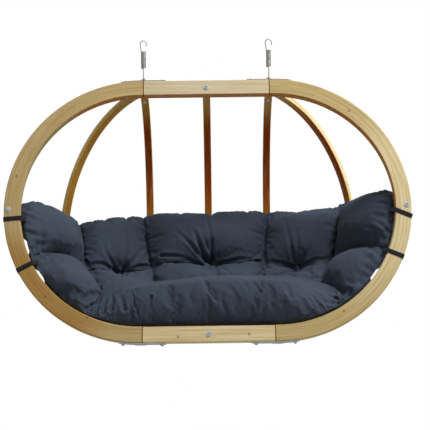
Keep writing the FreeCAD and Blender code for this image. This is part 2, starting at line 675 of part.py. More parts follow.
def make_cushion_room():
    """The room for the cushion: inside the ribs behind the ring, inside the ring, and below a sloping rim."""
    radius = value(CUSHION_BACK)
    ring_back = size("stock_depth") + size("strap_thickness") + 2 * size("seat_gap")
    back = doc.addObject("Part::Common", "CushionBack")
    back.Base = make_globe("CushionGlobe", CUSHION_BACK)
    back.Tool = make_block("BehindRing", shift(y=ring_back, z=-radius), 2, 1, 2)
    front = new_body("CushionFront", shift(y=-size("cushion_front")))
    outline = new_sketch(front, "FrontOutline", "XZ_Plane")
    stadium(outline, HOOP_CENTRE, CUSHION_RING)
    pad = front.newObject("PartDesign::Pad", "FrontPad")
    pad.Profile = outline
    pad.Reversed = True
    depth = "Sizes.cushion_front + Sizes.stock_depth + Sizes.strap_thickness + 3 * Sizes.seat_gap"
    pad.setExpression("Length", depth)
    whole = doc.addObject("Part::MultiFuse", "CushionWhole")
    whole.Shapes = [back, front]
    rim = shift(z=size("cushion_top")) * turn(X_AXIS, size("cushion_slope"))
    room = doc.addObject("Part::Cut", "CushionRoom")
    room.Base = whole
    room.Tool = make_block("AboveRim", rim * shift(y=-radius), 3, 3, 2)
    return room


def make_seat_space():
    """The space that the cushion leaves open: all in front of its wall, less its filled pillows."""
    radius = value(CUSHION_BACK)
    wall_front = size("stock_depth") + size("strap_thickness") + 3 * size("seat_gap")
    before = make_block("BeforeWall", shift(y=wall_front - radius, z=-1.5 * radius), 3, 1, 3)
    space = doc.addObject("Part::Fuse", "SeatHollow")
    space.Base = before
    space.Tool = make_globe("HollowGlobe", f"{CUSHION_BACK} - Sizes.cushion_wall")
    pillows = [make_pillow(name, expressions) for name, expressions in MIDDLE_PILLOWS.items()]
    for name, expressions in SIDE_PILLOWS.items():
        pillows += [make_pillow(name, expressions, side) for side in (-1, 1)]
    for pillow in pillows:
        rest = doc.addObject("Part::Cut", "SeatSpace")
        rest.Base = space
        rest.Tool = pillow
        space = rest
    return space


def make_cushion():
    """The seat cushion: a wall against the ribs, with its filled pillows in front of it."""
    cushion = doc.addObject("Part::Cut", "seat_cushion")
    cushion.Label = "seat_cushion"
    cushion.Base = make_cushion_room()
    cushion.Tool = make_seat_space()
    cushion.Placement = CHAIR
    return publish(cushion)


def stadium(sketch, half_length, radius):
    """A closed outline of two half circles joined by straight lines, centred on the sketch's origin."""
    half = value(half_length)
    r = value(radius)
    add_arc(sketch, -half, 0, r, 90, 270)
    add_line(sketch, -half, -r, half, -r)
    add_arc(sketch, half, 0, r, -90, 90)
    add_line(sketch, half, r, -half, r)
    constrain(sketch, "Tangent", 0, END, 1, START)
    constrain(sketch, "Tangent", 1, END, 2, START)
    constrain(sketch, "Tangent", 2, END, 3, START)
    constrain(sketch, "Tangent", 3, END, 0, START)
    constrain(sketch, "Horizontal", 1)
    constrain(sketch, "Symmetric", 0, CENTRE, 2, CENTRE, *ROOT)
    constrain(sketch, "PointOnObject", 0, CENTRE, H_AXIS)
    constrain(sketch, "Radius", 0, to=radius)
    constrain(sketch, "DistanceX", 0, CENTRE, 2, CENTRE, to=f"2 * ({half_length})")


def make_strap(label, side, angle):
    """A webbing loop round a hoop, below its half height on one side (left -1, right 1)."""
    centre = shift(side * value(HOOP_CENTRE), size("stock_depth") / 2)
    swing = turn(Y_AXIS, side * size(angle))
    out = shift(side * value(STOCK_RADIUS))
    body = new_body(label, CHAIR * centre * swing * out)
    loop = new_sketch(body, "StrapLoop", "XY_Plane")
    inner = ("Sizes.stock_width + 2 * Sizes.strap_slack", "Sizes.stock_depth + 2 * Sizes.seat_gap")
    outer = tuple(f"{side_length} + 2 * Sizes.strap_thickness" for side_length in inner)
    chamfered_rectangle(loop, *outer, "Sizes.stock_chamfer")
    chamfered_rectangle(loop, *inner, "Sizes.stock_chamfer - Sizes.seat_gap")
    webbing = body.newObject("PartDesign::Pad", "Webbing")
    webbing.Profile = loop
    webbing.SideType = "Symmetric"
    webbing.setExpression("Length", "Sizes.strap_width")
    return publish(body)


def make_spring_hooks():
    """The open hooks at the top of the springs: a leg off the coil, a bend over the seat and a free end."""
    body = new_body("HookMaster")
    radius = size("hook_radius")
    centre = size("spring_wire") / 2 - radius
    leg_x = -value(COIL_RADIUS)
    leg_y = -size("hook_drop") + size("seat_gap")
    away = math.hypot(leg_x, centre - leg_y)
    touch = math.degrees(math.atan2(leg_y - centre, leg_x)) - math.degrees(math.acos(radius / away))
    touch = touch % 360
    touch_x = radius * math.cos(math.radians(touch))
    touch_y = centre + radius * math.sin(math.radians(touch))
    spine = new_sketch(body, "HookSpine", "XZ_Plane")
    add_line(spine, leg_x, leg_y, touch_x, touch_y)
    add_arc(spine, 0, centre, radius, 0, touch)
    add_line(spine, radius, centre, radius, centre - size("hook_tail"))
    constrain(spine, "PointOnObject", 1, CENTRE, V_AXIS)
    constrain(spine, "Tangent", 0, END, 1, END)
    constrain(spine, "Tangent", 1, START, 2, START)
    constrain(spine, "Vertical", 2)
    constrain(spine, "Radius", 1, to="Sizes.hook_radius")
    constrain(spine, "DistanceY", 1, CENTRE, *ROOT, to="Sizes.hook_radius - Sizes.spring_wire / 2")
    constrain(spine, "DistanceX", 0, START, *ROOT, to=COIL_RADIUS)
    constrain(spine, "DistanceY", 0, START, *ROOT, to="Sizes.hook_drop - Sizes.seat_gap")
    constrain(spine, "DistanceY", 2, END, 2, START, to="Sizes.hook_tail")
    tail = f"Sizes.hook_radius - Sizes.spring_wire / 2 + Sizes.hook_tail"
    section = new_sketch(body, "HookSection", "XY_Plane", x="Sizes.hook_radius", z=f"-({tail})")
    round_section(section, "Sizes.spring_wire")
    sweep(body, section, spine)
    return repeated("spring_hooks", body, [shift(side * value(HALF_RAIL)) for side in (-1, 1)])


def make_spring_coils():
    """The closed coils, one ridge for each turn, bored to the wire's inner edge."""
    body = new_body("CoilMaster")
    inner = value(COIL_RADIUS) - size("spring_wire") / 2
    outer = size("spring_diameter") / 2
    groove = outer - size("turn_relief")
    pitch = size("spring_wire")
    ridge = new_sketch(body, "TurnSection", "XZ_Plane", y=f"-Sizes.hook_drop - {COIL_LENGTH}")
    polyline(ridge, [(inner, 0), (groove, 0), (outer, pitch / 2), (groove, pitch), (inner, pitch)])
    constrain(ridge, "Horizontal", 0)
    constrain(ridge, "Horizontal", 3)
    constrain(ridge, "Vertical", 4)
    constrain(ridge, "Vertical", 0, END, 2, END)
    constrain(ridge, "Equal", 1, 2)
    constrain(ridge, "PointOnObject", 0, START, H_AXIS)
    constrain(ridge, "DistanceX", *ROOT, 0, START, to=f"{COIL_RADIUS} - Sizes.spring_wire / 2")
    constrain(ridge, "DistanceX", *ROOT, 1, END, to="Sizes.spring_diameter / 2")
    constrain(ridge, "DistanceX", 0, END, 1, END, to="Sizes.turn_relief")
    constrain(ridge, "DistanceY", 0, START, 3, END, to="Sizes.spring_wire")
    wound = body.newObject("PartDesign::Revolution", "Turn")
    wound.Profile = ridge
    wound.ReferenceAxis = (ridge, ["V_Axis"])
    wound.Angle = 360
    turns = body.newObject("PartDesign::LinearPattern", "Turns")
    turns.Originals = [wound]
    turns.Direction = (ridge, ["V_Axis"])
    turns.setExpression("Length", f"{COIL_LENGTH} - Sizes.spring_wire")
    turns.setExpression("Occurrences", "Sizes.spring_turns")
    body.Tip = turns
    return repeated("spring_coils", body, [shift(side * value(HALF_RAIL)) for side in (-1, 1)])


def make_spring_loops():
    """The lower ends of the springs: a straight leg off the coil and a loop under the eye's bar."""
    body = new_body("LoopMaster")
    radius = value(COIL_RADIUS)
    centre = value(LOOP_CENTRE)
    leg = size("loop_drop") - size("seat_gap")
    spine = new_sketch(body, "LoopSpine", "YZ_Plane")
    add_line(spine, -radius, leg, -radius, centre)
    add_arc(spine, 0, centre, radius, 180, 360)
    add_line(spine, radius, centre, radius, centre + size("loop_tip"))
    constrain(spine, "PointOnObject", 1, CENTRE, V_AXIS)
    constrain(spine, "Tangent", 0, END, 1, START)
    constrain(spine, "Tangent", 1, END, 2, START)
    constrain(spine, "Vertical", 0)
    constrain(spine, "Vertical", 2)
    constrain(spine, "Radius", 1, to=COIL_RADIUS)
    constrain(spine, "DistanceY", *ROOT, 1, CENTRE, to=LOOP_CENTRE)
    constrain(spine, "DistanceY", *ROOT, 0, START, to="Sizes.loop_drop - Sizes.seat_gap")
    constrain(spine, "DistanceY", 2, START, 2, END, to="Sizes.loop_tip")
    section = new_sketch(body, "LoopSection", "XY_Plane", y=f"-{COIL_RADIUS}", z="Sizes.loop_drop - Sizes.seat_gap")
    round_section(section, "Sizes.spring_wire")
    sweep(body, section, spine)
    drop = -value(HANG_DROP)
    return repeated("spring_loops", body, [shift(side * value(HALF_RAIL), 0, drop) for side in (-1, 1)])


def make_chair():
    """Build every sub-part."""
    half = value(HALF_RAIL)
    ring_centre = CHAIR.Base
    upward = CHAIR.Rotation.multVec(Z_AXIS)
    left_hoop = make_hoop()
    mirrored("right_hoop", left_hoop, X_AXIS)
    make_rail("top_rail", 1)
    make_rail("bottom_rail", -1)
    left_outer = make_rib("left_outer_rib", -half, size("outer_rib_angle"))
    mirrored("right_outer_rib", left_outer, X_AXIS)
    make_rib("left_back_rib", -half)
    make_rib("centre_back_rib", 0, bolted=True)
    make_rib("right_back_rib", half)
    make_band()
    top_left = make_joint_plate()
    mirrored("top_right_plate", top_left, X_AXIS)
    bottom_left = mirrored("bottom_left_plate", top_left, upward, ring_centre)
    mirrored("bottom_right_plate", bottom_left, X_AXIS)
    make_eyes()
    make_joint_bolts()
    make_frame_bolts()
    make_cushion()
    make_strap("left_upper_strap", -1, "left_upper_strap_angle")
    make_strap("left_lower_strap", -1, "left_lower_strap_angle")
    make_strap("right_upper_strap", 1, "right_upper_strap_angle")
    make_strap("right_lower_strap", 1, "right_lower_strap_angle")
    make_spring_hooks()
    make_spring_coils()
    make_spring_loops()


def check_document():
    """Stop if any object failed to compute or any sub-part isn't a valid solid."""
    for item in doc.Objects:
        if "Invalid" in item.State or "Error" in item.State:
            raise RuntimeError(f"{item.Label} did not compute")
    for part in parts:
        if part.Shape.isNull() or not part.Shape.isValid() or not part.Shape.Solids:
            raise RuntimeError(f"{part.Label} is not a valid solid")


make_chair()
doc.recompute()
check_document()
os.makedirs("parts", exist_ok=True)
for part in parts:
    part.Shape.exportStep(f"parts/{part.Label}.step")
print(f"{len(parts)} sub-parts written")
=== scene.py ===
import functools
import math

import bpy
import numpy as np
from mathutils import Matrix, Vector


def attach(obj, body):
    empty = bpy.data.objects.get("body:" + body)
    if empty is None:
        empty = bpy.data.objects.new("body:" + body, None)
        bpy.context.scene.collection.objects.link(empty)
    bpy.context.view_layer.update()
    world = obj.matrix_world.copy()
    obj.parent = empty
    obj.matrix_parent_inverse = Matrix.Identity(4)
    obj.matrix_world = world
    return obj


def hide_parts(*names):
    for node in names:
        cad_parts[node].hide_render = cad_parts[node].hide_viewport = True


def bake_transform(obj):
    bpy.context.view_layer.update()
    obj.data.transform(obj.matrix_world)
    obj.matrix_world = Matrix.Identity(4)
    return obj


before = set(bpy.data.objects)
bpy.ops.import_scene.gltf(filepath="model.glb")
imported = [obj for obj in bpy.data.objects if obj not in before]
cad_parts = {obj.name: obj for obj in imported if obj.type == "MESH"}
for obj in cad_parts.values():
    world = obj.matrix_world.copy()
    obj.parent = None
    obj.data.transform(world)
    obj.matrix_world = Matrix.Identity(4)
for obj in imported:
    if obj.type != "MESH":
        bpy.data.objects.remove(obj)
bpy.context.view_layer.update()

# Sizes of the chair in metres, as the solids have them.
LEAN = math.radians(16.3)
HINGE_DROP = 0.1695
HINGE_HEIGHT = 0.605
HALF_RAIL = 0.280
HOOP_CENTRE = 0.292
STOCK_DEPTH = 0.040
STOCK_WIDTH = 0.070
STOCK_CHAMFER = 0.004
RING_INNER = 0.520
STOCK_RADIUS = 0.555
RIB_RADIUS = 0.555
RIB_INNER = 0.542
RIB_WIDTH = 0.034
BAND_RADIUS = 0.5813
BAND_OUTER = 0.5943
COIL_TOP = -0.042
COIL_FOOT = -0.123
COIL_RADIUS = 0.00925
COIL_TURNS = 17.25
SPRING_WIRE = 0.0045

# Chair axes (X right, Y back from the ring's front face, Z up from the ring's centre) to the row frame.
CHAIR = (
    Matrix.Translation((0, 0, -HINGE_DROP))
    @ Matrix.Rotation(-LEAN, 4, "X")
    @ Matrix.Translation((0, -STOCK_DEPTH / 2, -HINGE_HEIGHT))
)


def moved(points, matrix):
    """Points as an array, moved by a matrix."""
    matrix = np.array(matrix)
    return np.asarray(points, float) @ matrix[:3, :3].T + matrix[:3, 3]


def to_row(points):
    """Chair points in metres as row points."""
    return moved(points, CHAIR)


def new_object(name, data):
    """An object at the origin, shown in the scene."""
    made = bpy.data.objects.new(name, data)
    bpy.context.scene.collection.objects.link(made)
    return made


# Camera and light

SENSOR = 36
LENS = 101.2
CAMERA_PLACE = (0.0316, -5.415, -0.7587)
CAMERA_TILT = math.radians(89.763)
CAMERA_ROLL = math.radians(-0.735)

# Soft lamps: place, width in metres and power in watts, all turned to the middle of the chair.
CHAIR_MIDDLE = Vector((0, 0, -0.75))
SOFT_LAMPS = {
    "key": ((2.8, -2.1, 4.9), 2.1, 448),
    "fill": ((-3.2, -3.6, 0.4), 2.6, 24),
    "side": ((4.0, -0.6, -0.1), 1.6, 40),
    "top": ((0.3, 0.4, 2.6), 2.2, 20),
}


def make_camera():
    """A long lens level with the ring's centre, rolled by the photograph's small tilt of the rails."""
    data = bpy.data.cameras.new("photo_camera")
    data.sensor_width = SENSOR
    data.lens = LENS
    camera = new_object("photo_camera", data)
    turn = Matrix.Rotation(CAMERA_TILT, 4, "X") @ Matrix.Rotation(CAMERA_ROLL, 4, "Z")
    camera.matrix_world = Matrix.Translation(CAMERA_PLACE) @ turn
    bpy.context.scene.camera = camera


def make_lights():
    """Soft round lamps."""
    for name, (place, width, power) in SOFT_LAMPS.items():
        data = bpy.data.lights.new(name, "AREA")
        data.shape = "DISK"
        data.size = width
        data.energy = power
        lamp = new_object(name, data)
        lamp.location = place
        lamp.rotation_euler = (CHAIR_MIDDLE - Vector(place)).to_track_quat("-Z", "Y").to_euler()


# Node trees


class Value:
    """A socket that takes part in Python arithmetic: each operator adds a Math node."""

    def __init__(self, wiring, socket):
        self.wiring = wiring
        self.socket = socket

    def math(self, operation, *operands):
        return self.wiring.node("ShaderNodeMath", {"operation": operation}, dict(enumerate(operands)))

    def __add__(self, other):
        return self.math("ADD", self, other)

    def __radd__(self, other):
        return self.math("ADD", other, self)

    def __sub__(self, other):
        return self.math("SUBTRACT", self, other)

    def __rsub__(self, other):
        return self.math("SUBTRACT", other, self)

    def __mul__(self, other):
        return self.math("MULTIPLY", self, other)

    def __rmul__(self, other):
        return self.math("MULTIPLY", other, self)

    def __truediv__(self, other):
        return self.math("DIVIDE", self, other)

    def __pow__(self, other):
        return self.math("POWER", self, other)

    def __abs__(self):
        return self.math("ABSOLUTE", self)

    def step(self, low, high):
        """0 below low and 1 above high, smooth between them."""
        settings = {"interpolation_type": "SMOOTHSTEP"}
        return self.wiring.node("ShaderNodeMapRange", settings, {0: self, 1: low, 2: high, 3: 0.0, 4: 1.0})


class Wiring:
    """A node tree under construction."""

    def __init__(self, tree):
        self.tree = tree

    def node(self, kind, settings=None, inputs=None, output=0):
        """A new node: its settings are made first, then its sockets' values or links. Returns one output."""
        made = self.tree.nodes.new(kind)
        for key, setting in (settings or {}).items():
            setattr(made, key, setting)
        for key, given in (inputs or {}).items():
            self.feed(made.inputs[key], given)
        return Value(self, made.outputs[output])

    def feed(self, socket, given):
        """Links a value, or several, to a socket, or sets the socket."""
        if isinstance(given, Value):
            self.tree.links.new(given.socket, socket)
        elif isinstance(given, list):
            for each in given:
                self.feed(socket, each)
        else:
            socket.default_value = given

    def mix(self, factor, first, second):
        return self.node("ShaderNodeMix", {"data_type": "RGBA"}, {0: factor, 6: first, 7: second}, 2)

    def seen_directly(self):
        """1 for rays from the camera, off metal or through glass, and 0 for rays that light a surface."""
        rays = ("Is Camera Ray", "Is Glossy Ray", "Is Transmission Ray")
        return functools.reduce(either, [self.node("ShaderNodeLightPath", output=ray) for ray in rays])


class Finish(Wiring):
    """A procedural material under construction round one Principled shader."""

    def __init__(self, name):
        self.material = bpy.data.materials.new(name)
        self.material.use_nodes = True
        super().__init__(self.material.node_tree)
        self.shader = self.tree.nodes["Principled BSDF"]

    def shade(self, **sockets):
        """Feeds the shader's own sockets; an underscore stands for a space."""
        for key, given in sockets.items():
            self.feed(self.shader.inputs[key.replace("_", " ")], given)
        return self.material

    def place(self):
        return self.node("ShaderNodeTexCoord", output="Object")

    def parts(self, vector, count):
        return [self.node("ShaderNodeSeparateXYZ", None, {0: vector}, axis) for axis in range(count)]

    def local(self, origin, axes=Matrix.Identity(3)):
        """X, Y and Z from a chair point, in the chair's axes or in axes turned within them."""
        turn = CHAIR.to_3x3() @ axes
        inputs = {"Vector": self.place(), "Location": CHAIR @ Vector(origin), "Rotation": turn.to_euler()}
        return self.parts(self.node("ShaderNodeMapping", {"vector_type": "TEXTURE"}, inputs), 3)

    def weave(self):
        """The piece's own map in metres, along and across its threads."""
        return self.parts(self.node("ShaderNodeUVMap", {"uv_map": "weave"}), 2)

    def vector(self, x, y, z):
        return self.node("ShaderNodeCombineXYZ", None, {0: x, 1: y, 2: z})

    def noise(self, vector, scale, detail=2.0, roughness=0.5):
        inputs = {"Vector": vector, "Scale": scale, "Detail": detail, "Roughness": roughness}
        return self.node("ShaderNodeTexNoise", None, inputs)

    def bump(self, height, strength, distance, under=None):
        """A relief of that height, laid over another one where there is one."""
        inputs = {"Height": height, "Strength": strength, "Distance": distance}
        if under:
            inputs["Normal"] = under
        return self.node("ShaderNodeBump", None, inputs)


def hypot(a, b):
    return (a * a + b * b) ** 0.5


def bearing(a, b):
    """The angle whose tangent is a over b, all round the circle."""
    return a.math("ARCTAN2", a, b)


def wave(value, length):
    """A sine wave of that length."""
    return value.math("SINE", value * (2 * math.pi / length))


def either(first, second):
    """The larger of two masks."""
    return second.math("MAXIMUM", first, second)


def srgb(code):
    """A colour written as six hexadecimal digits, in the shader's linear light."""
    channels = [int(code[i:i + 2], 16) / 255 for i in (0, 2, 4)]
    return tuple(c / 12.92 if c <= 0.04045 else ((c + 0.055) / 1.055) ** 2.4 for c in channels) + (1.0,)


# Wood

PLY = 0.0175
BROWN = srgb("663404")
# Painted shade: warm brown on the ring's inner edges, standing in for the shade that falls on them.
PAINTED_INNER_SHADE = srgb("b8701c")
# The left hoop's tones are duller than the right's: partly its own browner wood, partly painted shade for the
# side that lies farther from the light.
LEFT_PALE = srgb("c0ac7e")
LEFT_HONEY = srgb("a98e58")
LEFT_AMBER = srgb("9c7434")
RIGHT_PALE = srgb("dccda6")
RIGHT_HONEY = srgb("c6b17c")
# RIGHT_TAN and RIGHT_AMBER are painted shade: the right hoop's top and foot are darkened where the key lamp
# lights them more strongly.
RIGHT_TAN = srgb("c3b082")
RIGHT_AMBER = srgb("b09861")
TOP_TONES = (srgb("d4c8aa"), srgb("c3b18a"), BROWN)
FOOT_TONES = (srgb("dfd1aa"), srgb("c9b17c"), BROWN)
BAND_TONES = (srgb("d8c084"), srgb("b08c48"), BROWN)
RIB_PALE = srgb("f8e8bc")
# RIB_CREAM is painted light: a paler, warmer base that brightens the left outer rib's side face, which the
# lamps leave in shade.
RIB_CREAM = srgb("ffe598")
RIB_HONEY = srgb("c8a462")
# Painted shade colours for the ribs' inner faces: amber below the middle, brown or gold above it, olive near
# the top pole.
RIB_AMBER = srgb("b27a20")
RIB_BROWN = srgb("964000")
RIB_GOLD = srgb("c98a22")
RIB_OLIVE = srgb("b58a3e")

# Ribs: place along the rails, turn in degrees, pale tone (the left outer rib's cream is painted light), the
# painted shade colour of the inner face above the middle, and how strongly that painted shade is laid on.
RIBS = {
    "left_outer_rib": (-HALF_RAIL, 45, RIB_CREAM, RIB_GOLD, 0.9),
    "left_back_rib": (-HALF_RAIL, 0, RIB_PALE, RIB_BROWN, 1.0),
    "centre_back_rib": (0, 0, RIB_PALE, RIB_BROWN, 1.0),
    "right_back_rib": (HALF_RAIL, 0, RIB_PALE, RIB_BROWN, 1.0),
    "right_outer_rib": (HALF_RAIL, -45, RIB_PALE, RIB_BROWN, 0.97),
}

# Knots of the ring's bars: places right of and above the centre of the hoop or the middle of the rail.
LEFT_KNOTS = ((-0.540, 0.151), (-0.400, -0.388), (-0.220, -0.480))
RIGHT_KNOTS = ((0.338, 0.435), (0.278, -0.466))
FOOT_KNOTS = ((-0.130, -0.012), (0.168, -0.004))
KNOT_CORE = 0.0025
KNOT_EDGE = 0.0085
KNOT_TONE = 0.6


def spruce(finish, place, tones, painted_shade, painted_shade_share, knot, seed):
    """Oiled spruce with its grain along a bar: plies stacked in depth, streaks, flecks and a few knots, and
    last a painted shade colour laid on by its share.
    """
    along, across, deep = place
    pale, dark, shadow = tones
    drift = finish.noise(finish.vector(along * 1.7 + seed, across * 6.0, deep * 6.0), 1.0, 2.0)
    plies = deep / PLY + drift * 0.35
    ply = finish.vector(plies.math("FLOOR", plies), seed, 0.0)
    tone = finish.node("ShaderNodeTexWhiteNoise", {"noise_dimensions": "2D"}, {0: ply})
    glue = abs(plies.math("FRACT", plies) - 0.5).step(0.455, 0.5)
    streak = finish.noise(finish.vector(along * 2.2 + seed * 3.1, across * 70.0, deep * 70.0), 2.0, 5.0, 0.62)
    fleck = finish.noise(finish.vector(along * 14.0 + seed, across * 260.0, deep * 260.0), 1.6, 2.0)
    cloud = finish.noise(finish.vector(along * 3.0, across * 9.0 + seed, deep * 9.0), 1.0, 3.0)
    colour = finish.mix(streak.step(0.36, 0.70), pale, dark)
    colour = finish.mix(tone * 0.22 + cloud.step(0.35, 0.75) * 0.30, colour, dark)
    colour = finish.mix(glue * 0.45, colour, shadow)
    colour = finish.mix(fleck.step(0.60, 0.74) * 0.22, colour, shadow)
    colour = finish.mix(knot, colour, shadow)
    # Painted shade: a shade colour laid into the base colour on the inner faces and at the joints.
    colour = finish.mix(painted_shade_share, colour, painted_shade)
    rough = 0.46 + streak * 0.16 + fleck * 0.06
    relief = finish.bump(streak * 0.6 + fleck * 0.4, 0.18, 0.0006)
    return finish.shade(Base_Color=colour, Roughness=rough, Normal=relief, Specular_IOR_Level=0.08)


def joint_line(x):
    """1 on the eased ends at the ring's four butt joints."""
    return 1.0 - abs(abs(x) - HALF_RAIL).step(0.0016, 0.0030)


def inner_edge(from_edge, y):
    """1 on the ring's inner edge, behind its front face."""
    behind_face = y.step(0.0005 - STOCK_DEPTH / 2, 0.002 - STOCK_DEPTH / 2)
    return (1.0 - from_edge.step(STOCK_CHAMFER, STOCK_CHAMFER + 0.002)) * behind_face


def knots(x, z, spots):
    """How dark the knots are, which run through the bar at places right of and above its centre."""
    masks = [1.0 - hypot(x - right, z - up).step(KNOT_CORE, KNOT_EDGE) for right, up in spots]
    return functools.reduce(either, [mask * KNOT_TONE for mask in masks], 0.0)


def hoop_spruce(name, side, spots, seed):
    """Grain that follows the hoop round its centre; the left hoop's foot is browner. Painted shade darkens
    the right hoop towards its top and foot, and the inner edge; the joints are darkest, end grain deepened by
    painted shade of the gap.
    """
    finish = Finish(name)
    x, y, z = finish.local((side * HOOP_CENTRE, STOCK_DEPTH / 2, 0))
    radius = hypot(x, z)
    # Painted shade on the inner edge: on the left hoop only near its top, on the right hoop above its foot.
    inside = inner_edge(radius - RING_INNER, y) * 0.9
    if side < 0:
        inside = inside * z.step(0.36, 0.47)
        low = (1.0 - z.step(-0.22, -0.05)) * (1.0 - x.step(-0.28, -0.10))
        pale = finish.mix(low * 0.72, LEFT_PALE, LEFT_AMBER)
        honey = finish.mix(low * 0.85, LEFT_HONEY, LEFT_AMBER)
    else:
        inside = inside * z.step(-0.20, 0.05)
        # Painted shade: darker towards the top and the foot, evening out the key lamp's stronger light there.
        ends = abs(z).step(0.22, 0.48)
        pale = finish.mix(ends, RIGHT_PALE, RIGHT_TAN)
        honey = finish.mix(ends, RIGHT_HONEY, RIGHT_AMBER)
    # The joints: darker end grain, deepened as painted shade of the gap between the bars.
    joint = joint_line(x + side * HOOP_CENTRE)
    painted_shade = finish.mix(joint, PAINTED_INNER_SHADE, BROWN)
    painted_shade_share = either(inside, joint * 0.9)
    place = (bearing(z, x * side) * STOCK_RADIUS, y, radius)
    return spruce(finish, place, (pale, honey, BROWN), painted_shade, painted_shade_share, knots(x, z, spots), seed)


def rail_spruce(name, side, tones, spots, seed):
    """Straight grain along a rail; painted shade darkens its inner edge, and its joints are darker end grain
    deepened by painted shade of the gap.
    """
    finish = Finish(name)
    x, y, z = finish.local((0, STOCK_DEPTH / 2, side * STOCK_RADIUS))
    # Painted shade on the inner edge: warm brown under the top rail, dark brown along the bottom rail's top
    # edge.
    inside = inner_edge(z * side + STOCK_WIDTH / 2, y) * 0.86
    # The joints: darker end grain, deepened as painted shade of the gap between the bars.
    joint = joint_line(x)
    painted_shade = finish.mix(joint, PAINTED_INNER_SHADE if side > 0 else BROWN, BROWN)
    painted_shade_share = either(inside, joint * 0.9)
    return spruce(finish, (x, y, z), tones, painted_shade, painted_shade_share, knots(x, z, spots), seed)


def rib_spruce(name, stand, azimuth, pale, painted_shade_tone, painted_shade_strength, seed):
    """Grain that follows a back rib; painted shade darkens its inner face in streaks, amber below the middle,
    darker above it and olive near the top.
    """
    finish = Finish(name)
    axes = Matrix.Rotation(math.radians(azimuth), 3, "Z")
    x, y, z = finish.local((stand, STOCK_DEPTH, 0), axes)
    radius = hypot(y, z)
    angle = bearing(z, y)
    on_face = 1.0 - abs(x).step(RIB_WIDTH / 2 - 0.0015, RIB_WIDTH / 2 - 0.0003)
    # Painted shade on the inner face, broken by streaks, its colour changing with height.
    inside = (1.0 - radius.step(RIB_INNER + 0.003, RIB_INNER + 0.005)) * on_face
    streak = finish.noise(finish.vector(angle * 1.6 + seed, x * 55.0, 0.0), 2.0, 4.0, 0.6)
    painted_shade_share = inside * (1.0 - streak.step(0.48, 0.72) * 0.28) * painted_shade_strength
    brown = finish.mix(angle.step(0.08, 0.5), RIB_AMBER, painted_shade_tone)
    brown = finish.mix(angle.step(1.0, 1.4), brown, RIB_OLIVE)
    place = (angle * RIB_RADIUS, x, radius)
    return spruce(finish, place, (pale, RIB_HONEY, brown), brown, painted_shade_share, 0.0, seed)


def band_spruce(name):
    """Grain along the back band: straight behind the back ribs, then round both ends."""
    finish = Finish(name)
    x, y, z = finish.local((0, STOCK_DEPTH, 0))
    middle = finish.node("ShaderNodeClamp", None, {0: x, 1: -HALF_RAIL, 2: HALF_RAIL})
    over = x - middle
    place = (middle + bearing(over, y) * BAND_RADIUS, z, hypot(over, y))
    return spruce(finish, place, BAND_TONES, BROWN, 0.0, 0.0, 9.4)


# Steel and cloth

# Steel finishes: tint, roughness and the solids that wear them.
STEELS = {
    # The top plates' darker zinc is painted shade, standing in for the shade on them.
    "weathered_zinc": (srgb("5f584c"), 0.48, ("top_left_plate", "top_right_plate")),
    "zinc_plate": (srgb("9c9ea0"), 0.38, ("bottom_left_plate", "bottom_right_plate")),
    "bright_zinc": (srgb("a9adb0"), 0.30, ("hanger_eyes", "joint_bolts", "joint_nuts", "frame_bolts")),
    "spring_zinc": (srgb("94958f"), 0.32, ("spring_hooks", "spring_loops")),
}
CANVAS_THREAD = 0.0016
WEBBING_RIB = 0.0018
WEBBING_CORD = 0.0025
WEBBING_ZIGZAG = 0.005


def zinc_steel(name, tint, roughness):
    """Zinc-plated steel: a faint spangle, dull patches and fine brushing."""
    finish = Finish(name)
    place = finish.place()
    spangle = finish.node("ShaderNodeTexVoronoi", None, {"Vector": place, "Scale": 320.0}, "Color")
    spangle = finish.node("ShaderNodeSeparateColor", None, {0: spangle}, 0)
    dull = finish.noise(place, 55.0, 4.0)
    shadow = tuple(c * 0.55 for c in tint[:3]) + (1.0,)
    colour = finish.mix(spangle * 0.25 + dull.step(0.42, 0.72) * 0.35, tint, shadow)
    rough = roughness + dull * 0.22 + spangle * 0.06
    relief = finish.bump(finish.noise(place, 900.0, 3.0), 0.08, 0.0003)
    return finish.shade(Base_Color=colour, Metallic=1.0, Roughness=rough, Normal=relief)


def canvas(name, colour, faded):
    """Woven outdoor cotton: threads over and under along the piece's own map, slubs and patches of fading."""
    finish = Finish(name)
    u, v = finish.weave()
    thread = wave(u, CANVAS_THREAD) * wave(v, CANVAS_THREAD) * 0.5 + 0.5
    slub = finish.noise(finish.vector(u * 30.0, v * 420.0, 0.0), 1.0, 3.0)
    cross = finish.noise(finish.vector(u * 420.0, v * 30.0, 4.0), 1.0, 3.0)
    wash = finish.noise(finish.vector(u * 5.0, v * 5.0, 0.0), 1.0, 4.0, 0.6)
    tone = (slub + cross) * 0.30 + thread * 0.16 + wash.step(0.35, 0.70) * 0.34
    base = finish.mix(tone, colour, faded)
    crinkle = finish.noise(finish.vector(u * 62.0, v * 15.0, 2.0), 1.0, 4.0, 0.55)
    pucker = finish.noise(finish.vector(u * 13.0, v * 34.0, 7.0), 1.0, 3.0)
    patch = finish.noise(finish.vector(u * 4.0, v * 4.0, 5.0), 1.0).step(0.40, 0.66)
    folds = finish.bump(crinkle * (0.35 + patch * 0.65) + pucker * 0.5, 0.55, 0.007)
    relief = finish.bump(thread * 0.5 + slub * 0.6 + cross * 0.6, 0.35, 0.0006, folds)
    finish.shade(Sheen_Weight=0.05, Sheen_Roughness=0.45, Sheen_Tint=(0.75, 0.8, 0.9, 1.0))
    finish.shade(Specular_IOR_Level=0.05)
    return finish.shade(Base_Color=base, Roughness=0.88 + thread * 0.08, Normal=relief)


